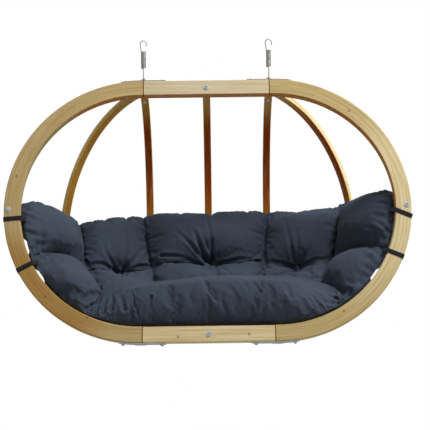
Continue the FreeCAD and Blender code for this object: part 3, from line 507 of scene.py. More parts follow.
def webbing(name, colour, faded):
    """Flat woven webbing: ribs across the strap and a herringbone of fine threads."""
    finish = Finish(name)
    u, v = finish.weave()
    zigzag = v.math("PINGPONG", v, WEBBING_ZIGZAG)
    rib = wave(u + zigzag * 0.8, WEBBING_RIB) * 0.5 + 0.5
    cord = wave(v, WEBBING_CORD) * 0.5 + 0.5
    wear = finish.noise(finish.vector(u * 60.0, v * 60.0, 0.0), 1.0, 3.0)
    base = finish.mix(rib * 0.35 + cord * 0.2 + wear * 0.35, colour, faded)
    relief = finish.bump(rib * 0.6 + cord * 0.4, 0.5, 0.0005)
    finish.shade(Sheen_Weight=0.04, Specular_IOR_Level=0.12)
    return finish.shade(Base_Color=base, Roughness=0.70 + wear * 0.2, Normal=relief)


def dress_node(node, material):
    """Gives a solid's own mesh a finish."""
    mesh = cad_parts[node].data
    mesh.materials.clear()
    mesh.materials.append(material)
    for polygon in mesh.polygons:
        polygon.material_index = 0


def dress_solids():
    """Gives the solids that stay visible their wood and steel, and returns the steels by name."""
    dress_node("left_hoop", hoop_spruce("left_hoop_spruce", -1, LEFT_KNOTS, 1.3))
    dress_node("right_hoop", hoop_spruce("right_hoop_spruce", 1, RIGHT_KNOTS, 5.9))
    dress_node("top_rail", rail_spruce("top_rail_spruce", 1, TOP_TONES, (), 2.7))
    dress_node("bottom_rail", rail_spruce("bottom_rail_spruce", -1, FOOT_TONES, FOOT_KNOTS, 7.1))
    for seed, (node, rib) in enumerate(RIBS.items(), 3):
        dress_node(node, rib_spruce(node + "_spruce", *rib, seed * 1.37))
    dress_node("back_band", band_spruce("back_band_spruce"))
    steels = {}
    for name, (tint, roughness, nodes) in STEELS.items():
        steels[name] = zinc_steel(name, tint, roughness)
        for node in nodes:
            dress_node(node, steels[name])
    return steels


# Stage

WHITE = (1.0, 1.0, 1.0, 1.0)
WARM_LIGHT = (1.0, 0.90, 0.76, 1.0)
SURROUND_LIGHT = 0.13
FLOOR_GREY = (0.55, 0.55, 0.55, 1)
FLOOR_DROP = -2.0
FLOOR_REACH = 60
SHADOW_CORE = 0.5
SHADOW_REACH = 1.45


def make_floor():
    """A pale floor below the hanging chair that keeps its shadow and turns white away from it."""
    finish = Finish("pale_floor")
    finish.shade(Base_Color=FLOOR_GREY, Roughness=0.8)
    x, y = finish.parts(finish.place(), 2)
    far = hypot(x, y).step(SHADOW_CORE, SHADOW_REACH)
    seen = finish.seen_directly() * (0.70 + far * 0.30)
    white = finish.node("ShaderNodeEmission")
    shaded = Value(finish, finish.shader.outputs[0])
    blend = finish.node("ShaderNodeMixShader", None, {0: seen, 1: shaded, 2: white})
    finish.feed(finish.tree.nodes["Material Output"].inputs[0], blend)
    mesh = bpy.data.meshes.new("floor")
    corners = [(-1, -1), (1, -1), (1, 1), (-1, 1)]
    mesh.from_pydata([(x * FLOOR_REACH, y * FLOOR_REACH, FLOOR_DROP) for x, y in corners], [], [(0, 1, 2, 3)])
    mesh.materials.append(finish.material)
    new_object("floor", mesh)


def make_surround():
    """A white surround that lights the chair softly and a little warmly."""
    world = bpy.data.worlds.new("white_surround")
    bpy.context.scene.world = world
    world.use_nodes = True
    wiring = Wiring(world.node_tree)
    seen = wiring.seen_directly()
    levels = {"Value": seen, "To Min": SURROUND_LIGHT, "To Max": 1.0}
    background = world.node_tree.nodes["Background"]
    wiring.feed(background.inputs["Strength"], wiring.node("ShaderNodeMapRange", None, levels))
    wiring.feed(background.inputs["Color"], wiring.mix(seen, WARM_LIGHT, WHITE))


# Cushion

# The quilted front of the cushion as seam and belly points in chair millimetres, from left to right.
# Every second column and row lies between seams.
# Columns: edge, lobe, seam, back, seam, back, seam, back, seam, lobe, edge.
RIM = (
    (-798, 44, 54), (-706, 235, 96), (-598, 410, 44), (-458, 480, 105), (-310, 500, 99),
    (-14, 512, 147), (275, 500, 113), (457, 480, 131), (630, 410, 134), (728, 235, 132), (806, 40, 94),
)
UPPER = (
    (-790, 36, -92), (-640, 185, -80), (-583, 380, -75), (-414, 388, -60), (-290, 478, -40),
    (-12, 408, -36), (264, 478, -32), (425, 388, -40), (602, 380, -26), (662, 185, -40), (800, 36, -55),
)
PINCH = (
    (-765, 35, -200), (-664, 195, -154), (-564, 345, -188), (-404, 402, -197), (-266, 440, -155),
    (30, 428, -157), (251, 440, -143), (409, 412, -185), (572, 345, -154), (675, 190, -140), (766, 35, -188),
)
LOWER = (
    (-673, 30, -343), (-585, 34, -278), (-507, 265, -270), (-378, 320, -274), (-252, 385, -242),
    (0, 352, -250), (245, 390, -210), (388, 345, -252), (532, 290, -226), (585, 130, -235), (702, 30, -307),
)
VALLEY = (
    (-539, 24, -449), (-495, 48, -380), (-459, 170, -349), (-352, 240, -284), (-239, 320, -292),
    (0, 335, -272), (240, 330, -270), (375, 300, -275), (501, 220, -298), (553, 130, -351), (591, 24, -416),
)
SEAT = (
    (-518, 21, -460), (-479, 70, -407), (-446, 120, -366), (-344, 160, -308), (-242, 205, -331),
    (0, 210, -305), (235, 210, -306), (370, 196, -322), (510, 150, -378), (556, 90, -392), (576, 21, -426),
)
CREST = (
    (-503, 18, -466), (-468, 50, -425), (-433, 75, -389), (-338, 80, -374), (-245, 85, -368),
    (0, 88, -340), (231, 88, -345), (365, 90, -366), (512, 72, -430), (556, 48, -426), (559, 18, -437),
)
BELLY = (
    (-489, 15, -473), (-456, 14, -458), (-417, 0, -448), (-328, -22, -446), (-252, -36, -428),
    (0, -44, -415), (228, -44, -415), (350, -40, -422), (490, 2, -440), (530, 10, -442), (543, 15, -445),
)
FRONT = (
    (-470, 12, -480), (-438, 14, -485), (-404, 20, -494), (-316, 30, -509), (-257, 34, -511),
    (-10, 34, -512), (223, 34, -512), (320, 30, -509), (460, 18, -478), (505, 12, -460), (525, 12, -452),
)
QUILT = np.array((RIM, UPPER, PINCH, LOWER, VALLEY, SEAT, CREST, BELLY, FRONT), float) / 1000
COLUMN_CELLS = (34, 26, 46, 30, 34)
ROW_CELLS = (24, 16, 18, 22)
CORNER_CELLS = 7
SHELL_RADIUS = 0.537
BEHIND_RING = 0.020

# Just short of a panel's end, counted in half panels.
PANEL_END = 1.9999999

# How firmly the rim, a seam of the seat, the back's creases and its tufts are held while the cushion fills.
RIM_HOLD = 0.04
SEAT_HOLD = 0.12
CREASE_HOLD = 0.10
TUFT_HOLD = 0.4
TUFT_CELLS = 4.0

# Filling: pressure, share by which the cloth grows, frames of simulation and the most that a point moves.
FILL_PRESSURE = 5.0
FILL_GROWTH = 0.07
FILL_FRAMES = 24
MOST_SWELL = 0.045


def quadratic(share):
    """Weights of three points, at 0, a half and 1, for a curve through them."""
    return np.array(((1 - share) * (1 - 2 * share), 4 * share * (1 - share), share * (2 * share - 1)))


def smooth_weights(share):
    """Weights of four points for a smooth curve between the middle two."""
    a = share
    return np.array((-a + 2 * a**2 - a**3, 2 - 5 * a**2 + 3 * a**3, a + 4 * a**2 - 3 * a**3, a**3 - a**2)) / 2


def sewn_line(line):
    """A row of points across the cushion that is bent at each seam."""
    points = []
    for panel, cells in enumerate(COLUMN_CELLS):
        last = panel == len(COLUMN_CELLS) - 1
        for i in range(cells + last):
            points.append(quadratic(i / cells) @ line[2 * panel:2 * panel + 3])
    return np.array(points)


def flowing_line(line):
    """A row of points across the cushion that runs smoothly past the seams."""
    ends = np.concatenate(([2 * line[0] - line[1]], line, [2 * line[-1] - line[-2]]))
    points = []
    for panel, cells in enumerate(COLUMN_CELLS):
        last = panel == len(COLUMN_CELLS) - 1
        for i in range(cells + last):
            place = 2 * panel + min(2 * i / cells, PANEL_END)
            first = int(place)
            points.append(smooth_weights(place - first) @ ends[first:first + 4])
    return np.array(points)


def quilt_grid():
    """The cushion's front as a grid of chair points, with the seams on grid lines."""
    rows = []
    for band, steps in enumerate(ROW_CELLS):
        last = band == len(ROW_CELLS) - 1
        for j in range(steps + last):
            line = np.tensordot(quadratic(j / steps), QUILT[2 * band:2 * band + 3], 1)
            flow = np.clip(band + j / steps - 2, 0, 1)
            rows.append(sewn_line(line) * (1 - flow) + flowing_line(line) * flow)
    return np.array(rows)


def sampled(grid, rows, columns):
    """Grid points at fractional rows and columns."""
    j = np.clip(rows.astype(int), 0, grid.shape[0] - 2)
    i = np.clip(columns.astype(int), 0, grid.shape[1] - 2)
    v = (rows - j)[..., None]
    u = (columns - i)[..., None]
    upper = grid[j, i] * (1 - u) + grid[j, i + 1] * u
    lower = grid[j + 1, i] * (1 - u) + grid[j + 1, i + 1] * u
    return upper * (1 - v) + lower * v


def round_corners(grid):
    """Draws the grid's four corners in to quarter circles."""
    rows, columns = grid.shape[:2]
    down, across = np.mgrid[0:rows, 0:columns].astype(float)
    reach = CORNER_CELLS
    new_down = down.copy()
    new_across = across.copy()
    for top in (True, False):
        for left in (True, False):
            a = across if left else columns - 1 - across
            b = down if top else rows - 1 - down
            along = np.clip(a, 0, reach)
            below = np.clip(b, 0, reach)
            turn = np.radians(45 * (1 - along / reach))
            side = np.radians(45 * (1 + below / reach))
            fade_b = np.clip(1 - b / (2 * reach), 0, 1)
            fade_a = np.clip(1 - a / (2 * reach), 0, 1)
            near = (a < reach) | (b < reach)
            shift_a = np.where(a <= reach, reach - reach * np.sin(turn) - along, 0) * fade_b
            shift_b = np.where(a <= reach, reach - reach * np.cos(turn), 0) * fade_b
            shift_c = np.where(b <= reach, reach - reach * np.sin(side), 0) * fade_a
            shift_d = np.where(b <= reach, reach - reach * np.cos(side) - below, 0) * fade_a
            more_top = b <= a
            move_a = np.where(more_top, shift_a, shift_c)
            move_b = np.where(more_top, shift_b, shift_d)
            new_across += np.where(near, move_a if left else -move_a, 0)
            new_down += np.where(near, move_b if top else -move_b, 0)
    return sampled(grid, new_down, new_across)


def core_of(points):
    """The nearest points on the line about which the ribs are bent."""
    core = np.zeros_like(points)
    core[..., 0] = np.clip(points[..., 0], -HALF_RAIL, HALF_RAIL)
    core[..., 1] = STOCK_DEPTH
    return core


def shell_grid(front):
    """The cushion's back: the front laid against the inside of the ribs."""
    ahead = front.copy()
    ahead[..., 1] = np.maximum(ahead[..., 1], STOCK_DEPTH + BEHIND_RING)
    core = core_of(ahead)
    away = ahead - core
    away /= np.linalg.norm(away, axis=-1, keepdims=True)
    back = core + away * SHELL_RADIUS
    back[..., 1] = np.maximum(back[..., 1], STOCK_DEPTH + BEHIND_RING)
    return back


def quilt_mesh(front, back):
    """One closed skin: the front at full spacing, the back at double spacing, joined along the rim."""
    rows, columns = front.shape[:2]
    points = [tuple(p) for p in front.reshape(-1, 3)]
    behind = {}
    for j in range(0, rows, 2):
        for i in range(0, columns, 2):
            if j in (0, rows - 1) or i in (0, columns - 1):
                behind[j, i] = j * columns + i
            else:
                behind[j, i] = len(points)
                points.append(tuple(back[j, i]))
    faces = []
    for j in range(rows - 1):
        for i in range(columns - 1):
            corner = j * columns + i
            faces.append((corner, corner + columns, corner + columns + 1, corner + 1))
    for j in range(0, rows - 1, 2):
        for i in range(0, columns - 1, 2):
            loop = [behind[j, i]]
            if j == 0:
                loop.append(i + 1)
            loop.append(behind[j, i + 2])
            if i == columns - 3:
                loop.append((j + 2) * columns - 1)
            loop.append(behind[j + 2, i + 2])
            if j == rows - 3:
                loop.append((rows - 1) * columns + i + 1)
            loop.append(behind[j + 2, i])
            if i == 0:
                loop.append((j + 1) * columns)
            faces.append(tuple(loop))
    return np.array(points), faces, behind


def seam_lines():
    """Grid positions of the seams' columns and rows."""
    return np.cumsum((0,) + COLUMN_CELLS), np.cumsum((0,) + ROW_CELLS)


def seam_holds(shape, behind):
    """How firmly each point is held while the cushion fills: 1 on a seam, less on a crease."""
    across, down = seam_lines()
    rows, columns = shape
    hold = np.zeros(shape)
    hold[-1, :] = 1
    hold[:, [0, -1]] = 1
    hold[0, :] = RIM_HOLD
    hold[0, [0, 1, 2, -3, -2, -1]] = 1
    hold[:down[2], across[1:5]] = 1
    hold[down[2]:, across[2]] = SEAT_HOLD
    for low, high in ((0, 1), (4, 5)):
        hold[down[1], across[low]:across[high]] = 1
        hold[down[2], across[low]:across[high] + 1] = 1
    hold[down[2], across[2]:across[4]] = 1
    hold[down[2], across[1] + 1:across[2]] = 0
    for panel in (1, 2, 3):
        middle = (across[panel] + across[panel + 1]) // 2
        span = np.arange(across[panel], across[panel + 1])
        crease = CREASE_HOLD + TUFT_HOLD * np.exp(-((span - middle) / TUFT_CELLS) ** 2)
        hold[down[1], span] = np.maximum(hold[down[1], span], crease)
        hold[down[1], middle - 1:middle + 2] = 1
    weights = np.zeros(max(behind.values()) + 1)
    weights[:rows * columns] = hold.ravel()
    for (_, i), index in behind.items():
        if index >= rows * columns and i in across:
            weights[index] = 1
    return weights


def fill_cloth(piece, weights):
    """Blows the sewn skin up with Blender's cloth, without gravity, and returns its points."""
    held = piece.vertex_groups.new(name="held")
    for level in np.unique(weights[weights > 0]):
        held.add([int(i) for i in np.nonzero(weights == level)[0]], float(level), "REPLACE")
    cloth = piece.modifiers.new("fill", "CLOTH")
    settings = cloth.settings
    settings.vertex_group_mass = "held"
    settings.quality = 5
    settings.mass = 0.15
    settings.air_damping = 2.0
    settings.tension_stiffness = 12
    settings.compression_stiffness = 12
    settings.shear_stiffness = 4
    settings.bending_stiffness = 0.05
    settings.tension_damping = 6
    settings.compression_damping = 6
    settings.use_pressure = True
    settings.uniform_pressure_force = FILL_PRESSURE
    settings.shrink_min = -FILL_GROWTH
    settings.effector_weights.gravity = 0
    cloth.collision_settings.use_collision = False
    cloth.point_cache.frame_end = FILL_FRAMES
    scene = bpy.context.scene
    for step in range(1, FILL_FRAMES + 1):
        scene.frame_set(step)
    skin = piece.evaluated_get(bpy.context.evaluated_depsgraph_get()).data
    points = np.zeros(len(skin.vertices) * 3)
    skin.vertices.foreach_get("co", points)
    scene.frame_set(1)
    piece.modifiers.remove(cloth)
    piece.vertex_groups.remove(held)
    return points.reshape(-1, 3)


def new_piece(name, points, faces, material):
    """A smooth-shaded piece from points and faces."""
    mesh = bpy.data.meshes.new(name)
    mesh.from_pydata([tuple(p) for p in points], [], faces)
    mesh.materials.append(material)
    mesh.shade_smooth()
    return new_object(name, mesh)


def smooth_step(x, low, high):
    """0 below low and 1 above high, smooth between them, for numbers or arrays."""
    t = np.clip((x - low) / (high - low), 0, 1)
    return t * t * (3 - 2 * t)


# Where the cushion's edge stands off the hoop: side, height in chair metres and half the length.
EDGE_GAPS = ((-1, -0.150, 0.052), (-1, -0.285, 0.045), (1, -0.290, 0.055))
GAP_CLEARANCE = 0.0095
GAP_TAPER = 0.14
GAP_DEPTH = 0.15

# Room that the frame leaves the cushion, with what it gains behind the ring and as a bulge between the ribs.
HOOP_CLEARANCE = 0.006
RING_BACK = (STOCK_DEPTH + 0.006, STOCK_DEPTH + 0.016)
BACK_ROOM = 0.05
RIB_CLEARANCE = 0.003
RIB_BULGE = 0.016
BULGE_REACH = (0.025, 0.10)


def keep_clear(points):
    """Keeps chair points inside the hoop, and inside the ribs, with a little bulge between the ribs."""
    clear = points.copy()
    centre = np.zeros_like(clear)
    centre[:, 0] = np.clip(clear[:, 0], -HOOP_CENTRE, HOOP_CENTRE)
    centre[:, 1] = clear[:, 1]
    reach = np.linalg.norm(clear - centre, axis=1)
    limit = RING_INNER - HOOP_CLEARANCE + BACK_ROOM * smooth_step(clear[:, 1], *RING_BACK)
    for side, level, length in EDGE_GAPS:
        gap = np.exp(-(((clear[:, 2] - level) / length) ** 4)) * (clear[:, 0] * side > HOOP_CENTRE)
        inside = RING_INNER - GAP_CLEARANCE - GAP_TAPER * np.clip(clear[:, 1] - STOCK_DEPTH, 0, GAP_DEPTH)
        limit -= gap * (limit - inside)
    pull = np.minimum(1, limit / reach)[:, None]
    clear = centre + (clear - centre) * pull
    core = core_of(clear)
    away = clear - core
    reach = np.linalg.norm(away, axis=1)
    turned = np.abs(away[:, 0]) - away[:, 1]
    gap = np.abs(clear[:, 0])
    gap = np.minimum(gap, np.abs(np.abs(clear[:, 0]) - HALF_RAIL))
    at_end = np.abs(clear[:, 0]) > HALF_RAIL
    gap = np.where(at_end, np.minimum(gap, np.abs(turned) / math.sqrt(2)), gap)
    limit = RIB_INNER - RIB_CLEARANCE + RIB_BULGE * smooth_step(gap, *BULGE_REACH)
    behind = clear[:, 1] > STOCK_DEPTH
    pull = np.where(behind, np.minimum(1, limit / np.maximum(reach, 1e-6)), 1)[:, None]
    return core + away * pull


def weave_map(mesh, spots):
    """The cloth's own map in metres, one spot for each point."""
    layer = mesh.uv_layers.new(name="weave")
    corners = np.zeros(len(mesh.loops), np.int32)
    mesh.loops.foreach_get("vertex_index", corners)
    layer.data.foreach_set("uv", spots[corners].astype(np.float32).ravel())


def doubling(cells):
    """Weights that double a line of grid points panel by panel, so that the seams stay sharp."""
    count = sum(cells)
    weights = np.zeros((2 * count + 1, count + 1))
    begin = 0
    for steps in cells:
        for i in range(steps):
            here = begin + i
            weights[2 * here, here] = 1
            row = weights[2 * here + 1]
            row[here] += 9 / 16
            row[here + 1] += 9 / 16
            for end, inner, outer in ((-1, here, here + 1), (1, here + 1, here)):
                beyond = inner + end
                if begin <= beyond <= begin + steps:
                    row[beyond] -= 1 / 16
                else:
                    row[inner] -= 2 / 16
                    row[outer] += 1 / 16
        begin += steps
    weights[-1, -1] = 1
    return weights


def doubled(grid):
    """The grid at half its spacing both ways."""
    rows = np.tensordot(doubling(ROW_CELLS), grid, 1)
    return np.transpose(np.tensordot(doubling(COLUMN_CELLS), rows, ([1], [1])), (1, 0, 2))


# Gathers: depth and reach along each row of seams, of which the fourth has none, and lengths of the ridges.
ROW_GATHERS = ((0.006, 0.035), (0.003, 0.03), (0.005, 0.08), (0.0, 0.001), (0.003, 0.06))
ROW_RIDGES = (0.023, 0.037, 0.061)
COLUMN_DEPTH = 0.0035
COLUMN_REACH = 0.032
COLUMN_RIDGES = (0.029, 0.047, 0.083)
SEAM_DEPTH = 0.012
SEAM_WIDTH = 0.008
RAY_DEPTH = 0.011
RAY_REACH = 0.075
RAY_RIDGES = (0.55, 0.83)
MEAN_RIDGE = 0.6366
ROW_SEED = 11
COLUMN_SEED = 31
RAY_SEED = 51


def gathers(along, seed, lengths):
    """Rounded ridges with sharp valleys between them, uneven along a seam, about zero."""
    rng = np.random.default_rng(seed)
    height = np.zeros_like(along)
    for length in lengths:
        phase, drift, swing = rng.uniform(0, 2 * math.pi, 3)
        uneven = along + 0.4 * length * np.sin(along * (2 * math.pi / (length * 4.3)) + drift)
        uneven += 0.3 * length * np.sin(along * (2 * math.pi / (length * 1.9)) + swing)
        height += np.abs(np.sin(uneven * (math.pi / length) + phase)) - MEAN_RIDGE
    return height / len(lengths)


def cloth_lengths(grid, axis):
    """Distance along the grid's lines from their start."""
    step = np.linalg.norm(np.diff(grid, axis=axis), axis=2)
    start = np.zeros_like(np.take(step, [0], axis=axis))
    return np.concatenate((start, np.cumsum(step, axis=axis)), axis=axis)


def wrinkled(grid):
    """How far each point of the doubled grid stands out in gathers along the seams and round the tufts."""
    across, down = (2 * line for line in seam_lines())
    s = cloth_lengths(grid, 1)
    t = cloth_lengths(grid, 0)
    height = np.zeros(grid.shape[:2])
    for k, (row, (depth, reach)) in enumerate(zip(down, ROW_GATHERS)):
        away = np.abs(t - t[row])
        ridges = gathers(s[row] * np.ones_like(t), ROW_SEED + k, ROW_RIDGES)
        height += depth * ridges * np.exp(-away / reach)
    lower = np.arange(grid.shape[0])[:, None] > down[2]
    for k, column in enumerate(across):
        away = np.abs(s - s[:, column][:, None])
        between = 0 < k < len(across) - 1
        depth = np.where(lower & between, 0.0, COLUMN_DEPTH)
        ridges = gathers(t[:, column][:, None] * np.ones_like(s), COLUMN_SEED + k, COLUMN_RIDGES)
        height += depth * ridges * np.exp(-away / COLUMN_REACH)
        if between:
            height -= np.where(lower, 0.0, SEAM_DEPTH) * np.exp(-((away / SEAM_WIDTH) ** 2))
    for k in (1, 2, 3):
        tuft = (across[k] + across[k + 1]) // 2
        over = s - s[:, tuft][:, None]
        below = t - t[down[1]]
        away = np.hypot(over, below)
        rays = gathers(np.arctan2(below, over), RAY_SEED + tuft, RAY_RIDGES)
        height += RAY_DEPTH * rays * np.exp(-away / RAY_REACH) * smooth_step(away, 0.004, 0.03)
    return height


# Creases in the cloth: depth, width and the run from the deep end, right and up, in chair millimetres.
CREASES = (
    (5, 9, (-818, 28), (-740, -6), (-696, -12)),
    (4, 9, (-806, -14), (-722, -44)),
    (4, 9, (-792, -92), (-702, -108)),
    (8, 10, (-768, -176), (-730, -140), (-682, -126)),
    (6, 9, (-736, -198), (-684, -220), (-656, -252)),
    (5, 9, (-710, -188), (-640, -212), (-604, -248)),
    (11, 9, (-480, -448), (-468, -400), (-460, -370)),
    (11, 9, (-450, -458), (-440, -410), (-436, -374)),
    (6, 6, (-502, -444), (-498, -404)),
    (10, 9, (-414, -446), (-408, -402), (-416, -366)),
    (11, 10, (-356, -446), (-368, -406), (-382, -374)),
    (10, 10, (-322, -486), (-326, -446), (-330, -410)),
    (10, 6, (-242, -396), (-250, -440), (-256, -496)),
    (4, 8, (-302, -462), (-298, -420)),
    (12, 8, (-398, -194), (-374, -104), (-382, 2)),
    (12, 8, (-394, -194), (-340, -128), (-304, -66)),
    (5, 9, (-378, -217), (-332, -233)),
    (12, 9, (-418, -194), (-484, -162), (-540, -168)),
    (8, 8, (-426, -180), (-466, -114), (-486, -50)),
    (6, 7, (-544, -178), (-516, -158), (-478, -160)),
    (10, 8, (-272, -150), (-328, -163), (-376, -190)),
    (26, 9, (4, -156), (-32, -96), (-68, 0)),
    (15, 8, (-4, -156), (-72, -80), (-148, 2)),
    (16, 8, (16, -150), (12, -34), (-6, 54)),
    (5, 10, (42, -122), (72, -36)),
    (12, 8, (-222, -112), (-162, -118), (-78, -134)),
    (11, 8, (-28, -160), (-88, -140), (-152, -144)),
    (7, 8, (60, -174), (96, -212), (110, -226)),
    (12, 8, (56, -152), (144, -134), (228, -136)),
    (11, 8, (408, -168), (410, -88), (408, 0)),
    (10, 8, (398, -164), (378, -78), (354, 58)),
    (12, 8, (392, -176), (328, -152), (270, -140)),
    (12, 8, (420, -176), (490, -154), (556, -150)),
    (5, 10, (422, -164), (480, -88), (510, -22)),
    (6, 9, (814, 10), (756, 24), (714, 38)),
    (6, 8, (808, -36), (760, 0), (720, 10)),
    (7, 8, (786, -118), (748, -72), (714, -44)),
    (7, 8, (780, -138), (720, -86), (682, -68)),
    (6, 8, (774, -150), (714, -108), (654, -98)),
    (5, 7, (808, 60), (774, 84), (742, 84)),
    (6, 8, (766, -182), (718, -186), (674, -202)),
    (5, 8, (756, -208), (718, -208), (676, -230)),
    (5, 8, (726, -262), (682, -262)),
    (9, 8, (574, -414), (536, -396), (500, -374)),
    (7, 8, (560, -424), (518, -428), (480, -416)),
    (6, 7, (588, -406), (610, -372), (604, -332)),
)
TUFTS = ((-402, -195), (22, -153), (408, -181))
TUFT_DEPTH = 0.014
TUFT_WIDTH = 0.030

# A crease's raised shoulder, as shares of its depth and width, and the share of depth lost by its end.
SHOULDER_HEIGHT = 0.45
SHOULDER_PLACE = 1.7
SHOULDER_WIDTH = 0.8
CREASE_FADE = 0.85


def creased(grid):
    """How far the creases and the tufts sink each point, with a raised shoulder beside each crease."""
    flat = grid[..., (0, 2)]
    height = np.zeros(grid.shape[:2])
    for depth, width, *run in CREASES:
        run = np.array(run) / 1000
        legs = np.linalg.norm(np.diff(run, axis=0), axis=1)
        passed = np.concatenate(([0], np.cumsum(legs)))
        nearest = np.full(height.shape, np.inf)
        share = np.zeros_like(height)
        for begin, finish, before, leg in zip(run[:-1], run[1:], passed, legs):
            way = (finish - begin) / leg
            along = np.clip((flat - begin) @ way, 0, leg)
            off = np.linalg.norm(flat - begin - along[..., None] * way, axis=2)
            share = np.where(off < nearest, (before + along) / passed[-1], share)
            nearest = np.minimum(off, nearest)
        ratio = nearest * 1000 / width
        shoulder = SHOULDER_HEIGHT * np.exp(-((ratio - SHOULDER_PLACE) / SHOULDER_WIDTH) ** 2)
        profile = shoulder - np.exp(-(ratio**2))
        height += depth / 1000 * (1 - CREASE_FADE * share) * profile
    for spot in TUFTS:
        away = np.linalg.norm(flat - np.array(spot) / 1000, axis=2)
        height -= TUFT_DEPTH * np.exp(-((away / TUFT_WIDTH) ** 2))
    return height


def grid_normals(grid):
    """Unit directions out of the cushion's front."""
    down = np.gradient(grid, axis=0)
    right = np.gradient(grid, axis=1)
    out = np.cross(down, right)
    return out / np.maximum(np.linalg.norm(out, axis=2, keepdims=True), 1e-9)


def filled(points, faces, holds, material):
    """Chair points of the sewn skin after it has been filled."""
    skin = new_piece("cushion_skin", to_row(points), faces, material)
    swollen = moved(fill_cloth(skin, holds), CHAIR.inverted())
    bpy.data.objects.remove(skin)
    move = swollen - points
    length = np.linalg.norm(move, axis=1, keepdims=True)
    return points + move * np.minimum(1, MOST_SWELL / np.maximum(length, 1e-9))


def refined_back(back, shape):
    """The back's points at the finer spacing of the doubled front, where a point is needed."""
    grid = np.zeros(shape)
    grid[::4, ::4] = back
    grid[2::4, ::4] = (back[:-1] + back[1:]) / 2
    grid[:, 2::4] = (grid[:, :-4:4] + grid[:, 4::4]) / 2
    return grid


def make_cushion(material):
    """The quilted cushion: a sewn skin, filled, wrinkled, kept clear of the frame and mapped for weave."""
    front = round_corners(quilt_grid())
    back = shell_grid(front)
    points, faces, behind = quilt_mesh(front, back)
    rows, columns = front.shape[:2]
    points = filled(points, faces, seam_holds((rows, columns), behind), material)
    front = doubled(points[:rows * columns].reshape(rows, columns, 3))
    for (j, i), index in behind.items():
        back[j, i] = points[index]
    front = front + grid_normals(front) * (wrinkled(front) + creased(front))[..., None]
    rows, columns = front.shape[:2]
    points, faces, behind = quilt_mesh(front, refined_back(back[::2, ::2], front.shape))
    piece = new_piece("quilted_cushion", to_row(keep_clear(points)), faces, material)
    spots = np.zeros((len(points), 2))
    spots[:rows * columns, 0] = cloth_lengths(front, 1).ravel()
    spots[:rows * columns, 1] = -cloth_lengths(front, 0).ravel()
    for (j, i), index in behind.items():
        spots[index] = spots[j * columns + i]
    weave_map(piece.data, spots)
    piece.data.update()
    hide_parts("seat_cushion")
    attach(piece, "chair")


# Springs, bolts and straps


class Shape(Wiring):
    """A Geometry Nodes tree under construction, with named inputs for its sizes."""

    def __init__(self, name):
        super().__init__(bpy.data.node_groups.new(name, "GeometryNodeTree"))
        self.tree.interface.new_socket("Geometry", in_out="OUTPUT", socket_type="NodeSocketGeometry")

    def inputs(self, sizes):
        """The tree's own inputs by name: the carried geometry, and sizes in metres or turns."""
        add = self.tree.interface.new_socket
        add("Geometry", in_out="INPUT", socket_type="NodeSocketGeometry")
        for name, size in sizes.items():
            add(name, in_out="INPUT", socket_type="NodeSocketFloat").default_value = size
        start = self.tree.nodes.new("NodeGroupInput")
        return {socket.name: Value(self, socket) for socket in start.outputs}

    def close(self, geometry, material):
        """Ends the tree in plain faces that wear one finish."""
        plain = self.node("GeometryNodeRealizeInstances", None, {0: geometry})
        worn = self.node("GeometryNodeSetMaterial", None, {0: plain, "Material": material})
        self.feed(self.tree.nodes.new("NodeGroupOutput").inputs[0], worn)
        return self.tree


def grown(name, tree, base, sizes):
    """The plain mesh that a tree grows from a base mesh with these sizes, as a piece at the origin."""
    carrier = new_object(name + "_base", base)
    modifier = carrier.modifiers.new("grow", "NODES")
    modifier.node_group = tree
    for socket in tree.interface.items_tree:
        if socket.in_out == "INPUT" and socket.name in sizes:
            modifier[socket.identifier] = sizes[socket.name]
    mesh = bpy.data.meshes.new_from_object(carrier.evaluated_get(bpy.context.evaluated_depsgraph_get()))
    carrier.modifiers.remove(modifier)
    bpy.data.objects.remove(carrier)
    mesh.name = name
    mesh.shade_smooth()
    return new_object(name, mesh)


def spots_mesh(name, spots):
    """Bare points, on each of which a fitting is grown."""
    mesh = bpy.data.meshes.new(name)
    mesh.from_pydata([tuple(p) for p in spots], [], [])
    return mesh


def make_coils(material):
    """The two closed coils: a wire wound from under each hook's leg to each lower loop's leg."""
    sizes = {
        "turns": COIL_TURNS,
        "coil_radius": COIL_RADIUS,
        "wire_radius": SPRING_WIRE / 2,
        "drop": COIL_FOOT - COIL_TOP + SPRING_WIRE,
    }
    shape = Shape("spring_coil")
    size = shape.inputs(sizes)
    helix = {"Resolution": 24, "Rotations": size["turns"], "Start Radius": size["coil_radius"]}
    helix.update({"End Radius": size["coil_radius"], "Height": size["drop"]})
    wound = shape.node("GeometryNodeCurveSpiral", None, helix)
    circle = {"Resolution": 10, "Radius": size["wire_radius"]}
    section = shape.node("GeometryNodeCurvePrimitiveCircle", {"mode": "RADIUS"}, circle)
    wire = shape.node("GeometryNodeCurveToMesh", None, {0: wound, 1: section, "Fill Caps": True})
    placed = {"Points": size["Geometry"], "Instance": wire, "Rotation": (0, 0, math.pi)}
    tree = shape.close(shape.node("GeometryNodeInstanceOnPoints", None, placed), material)
    top = COIL_TOP - SPRING_WIRE / 2
    spots = [(-HALF_RAIL, 0, top), (HALF_RAIL, 0, top)]
    piece = grown("wound_coils", tree, spots_mesh("coil_tops", spots), sizes)
    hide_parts("spring_coils")
    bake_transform(piece)


# Button bolts: radii of washer and head, height of the crown, and degrees from a rib's poles to its bolts.
BOLT_SIZES = {"washer": 0.0085, "head": 0.0058, "crown": 0.0036}
WASHER_DEPTH = 0.0016
WASHER_LIFT = 0.0006
CROWN_LIFT = 0.0012
BOLT_POLES = {"left_outer_rib": 6.2, "left_back_rib": 8.9, "right_back_rib": 8.9, "right_outer_rib": 6.2}


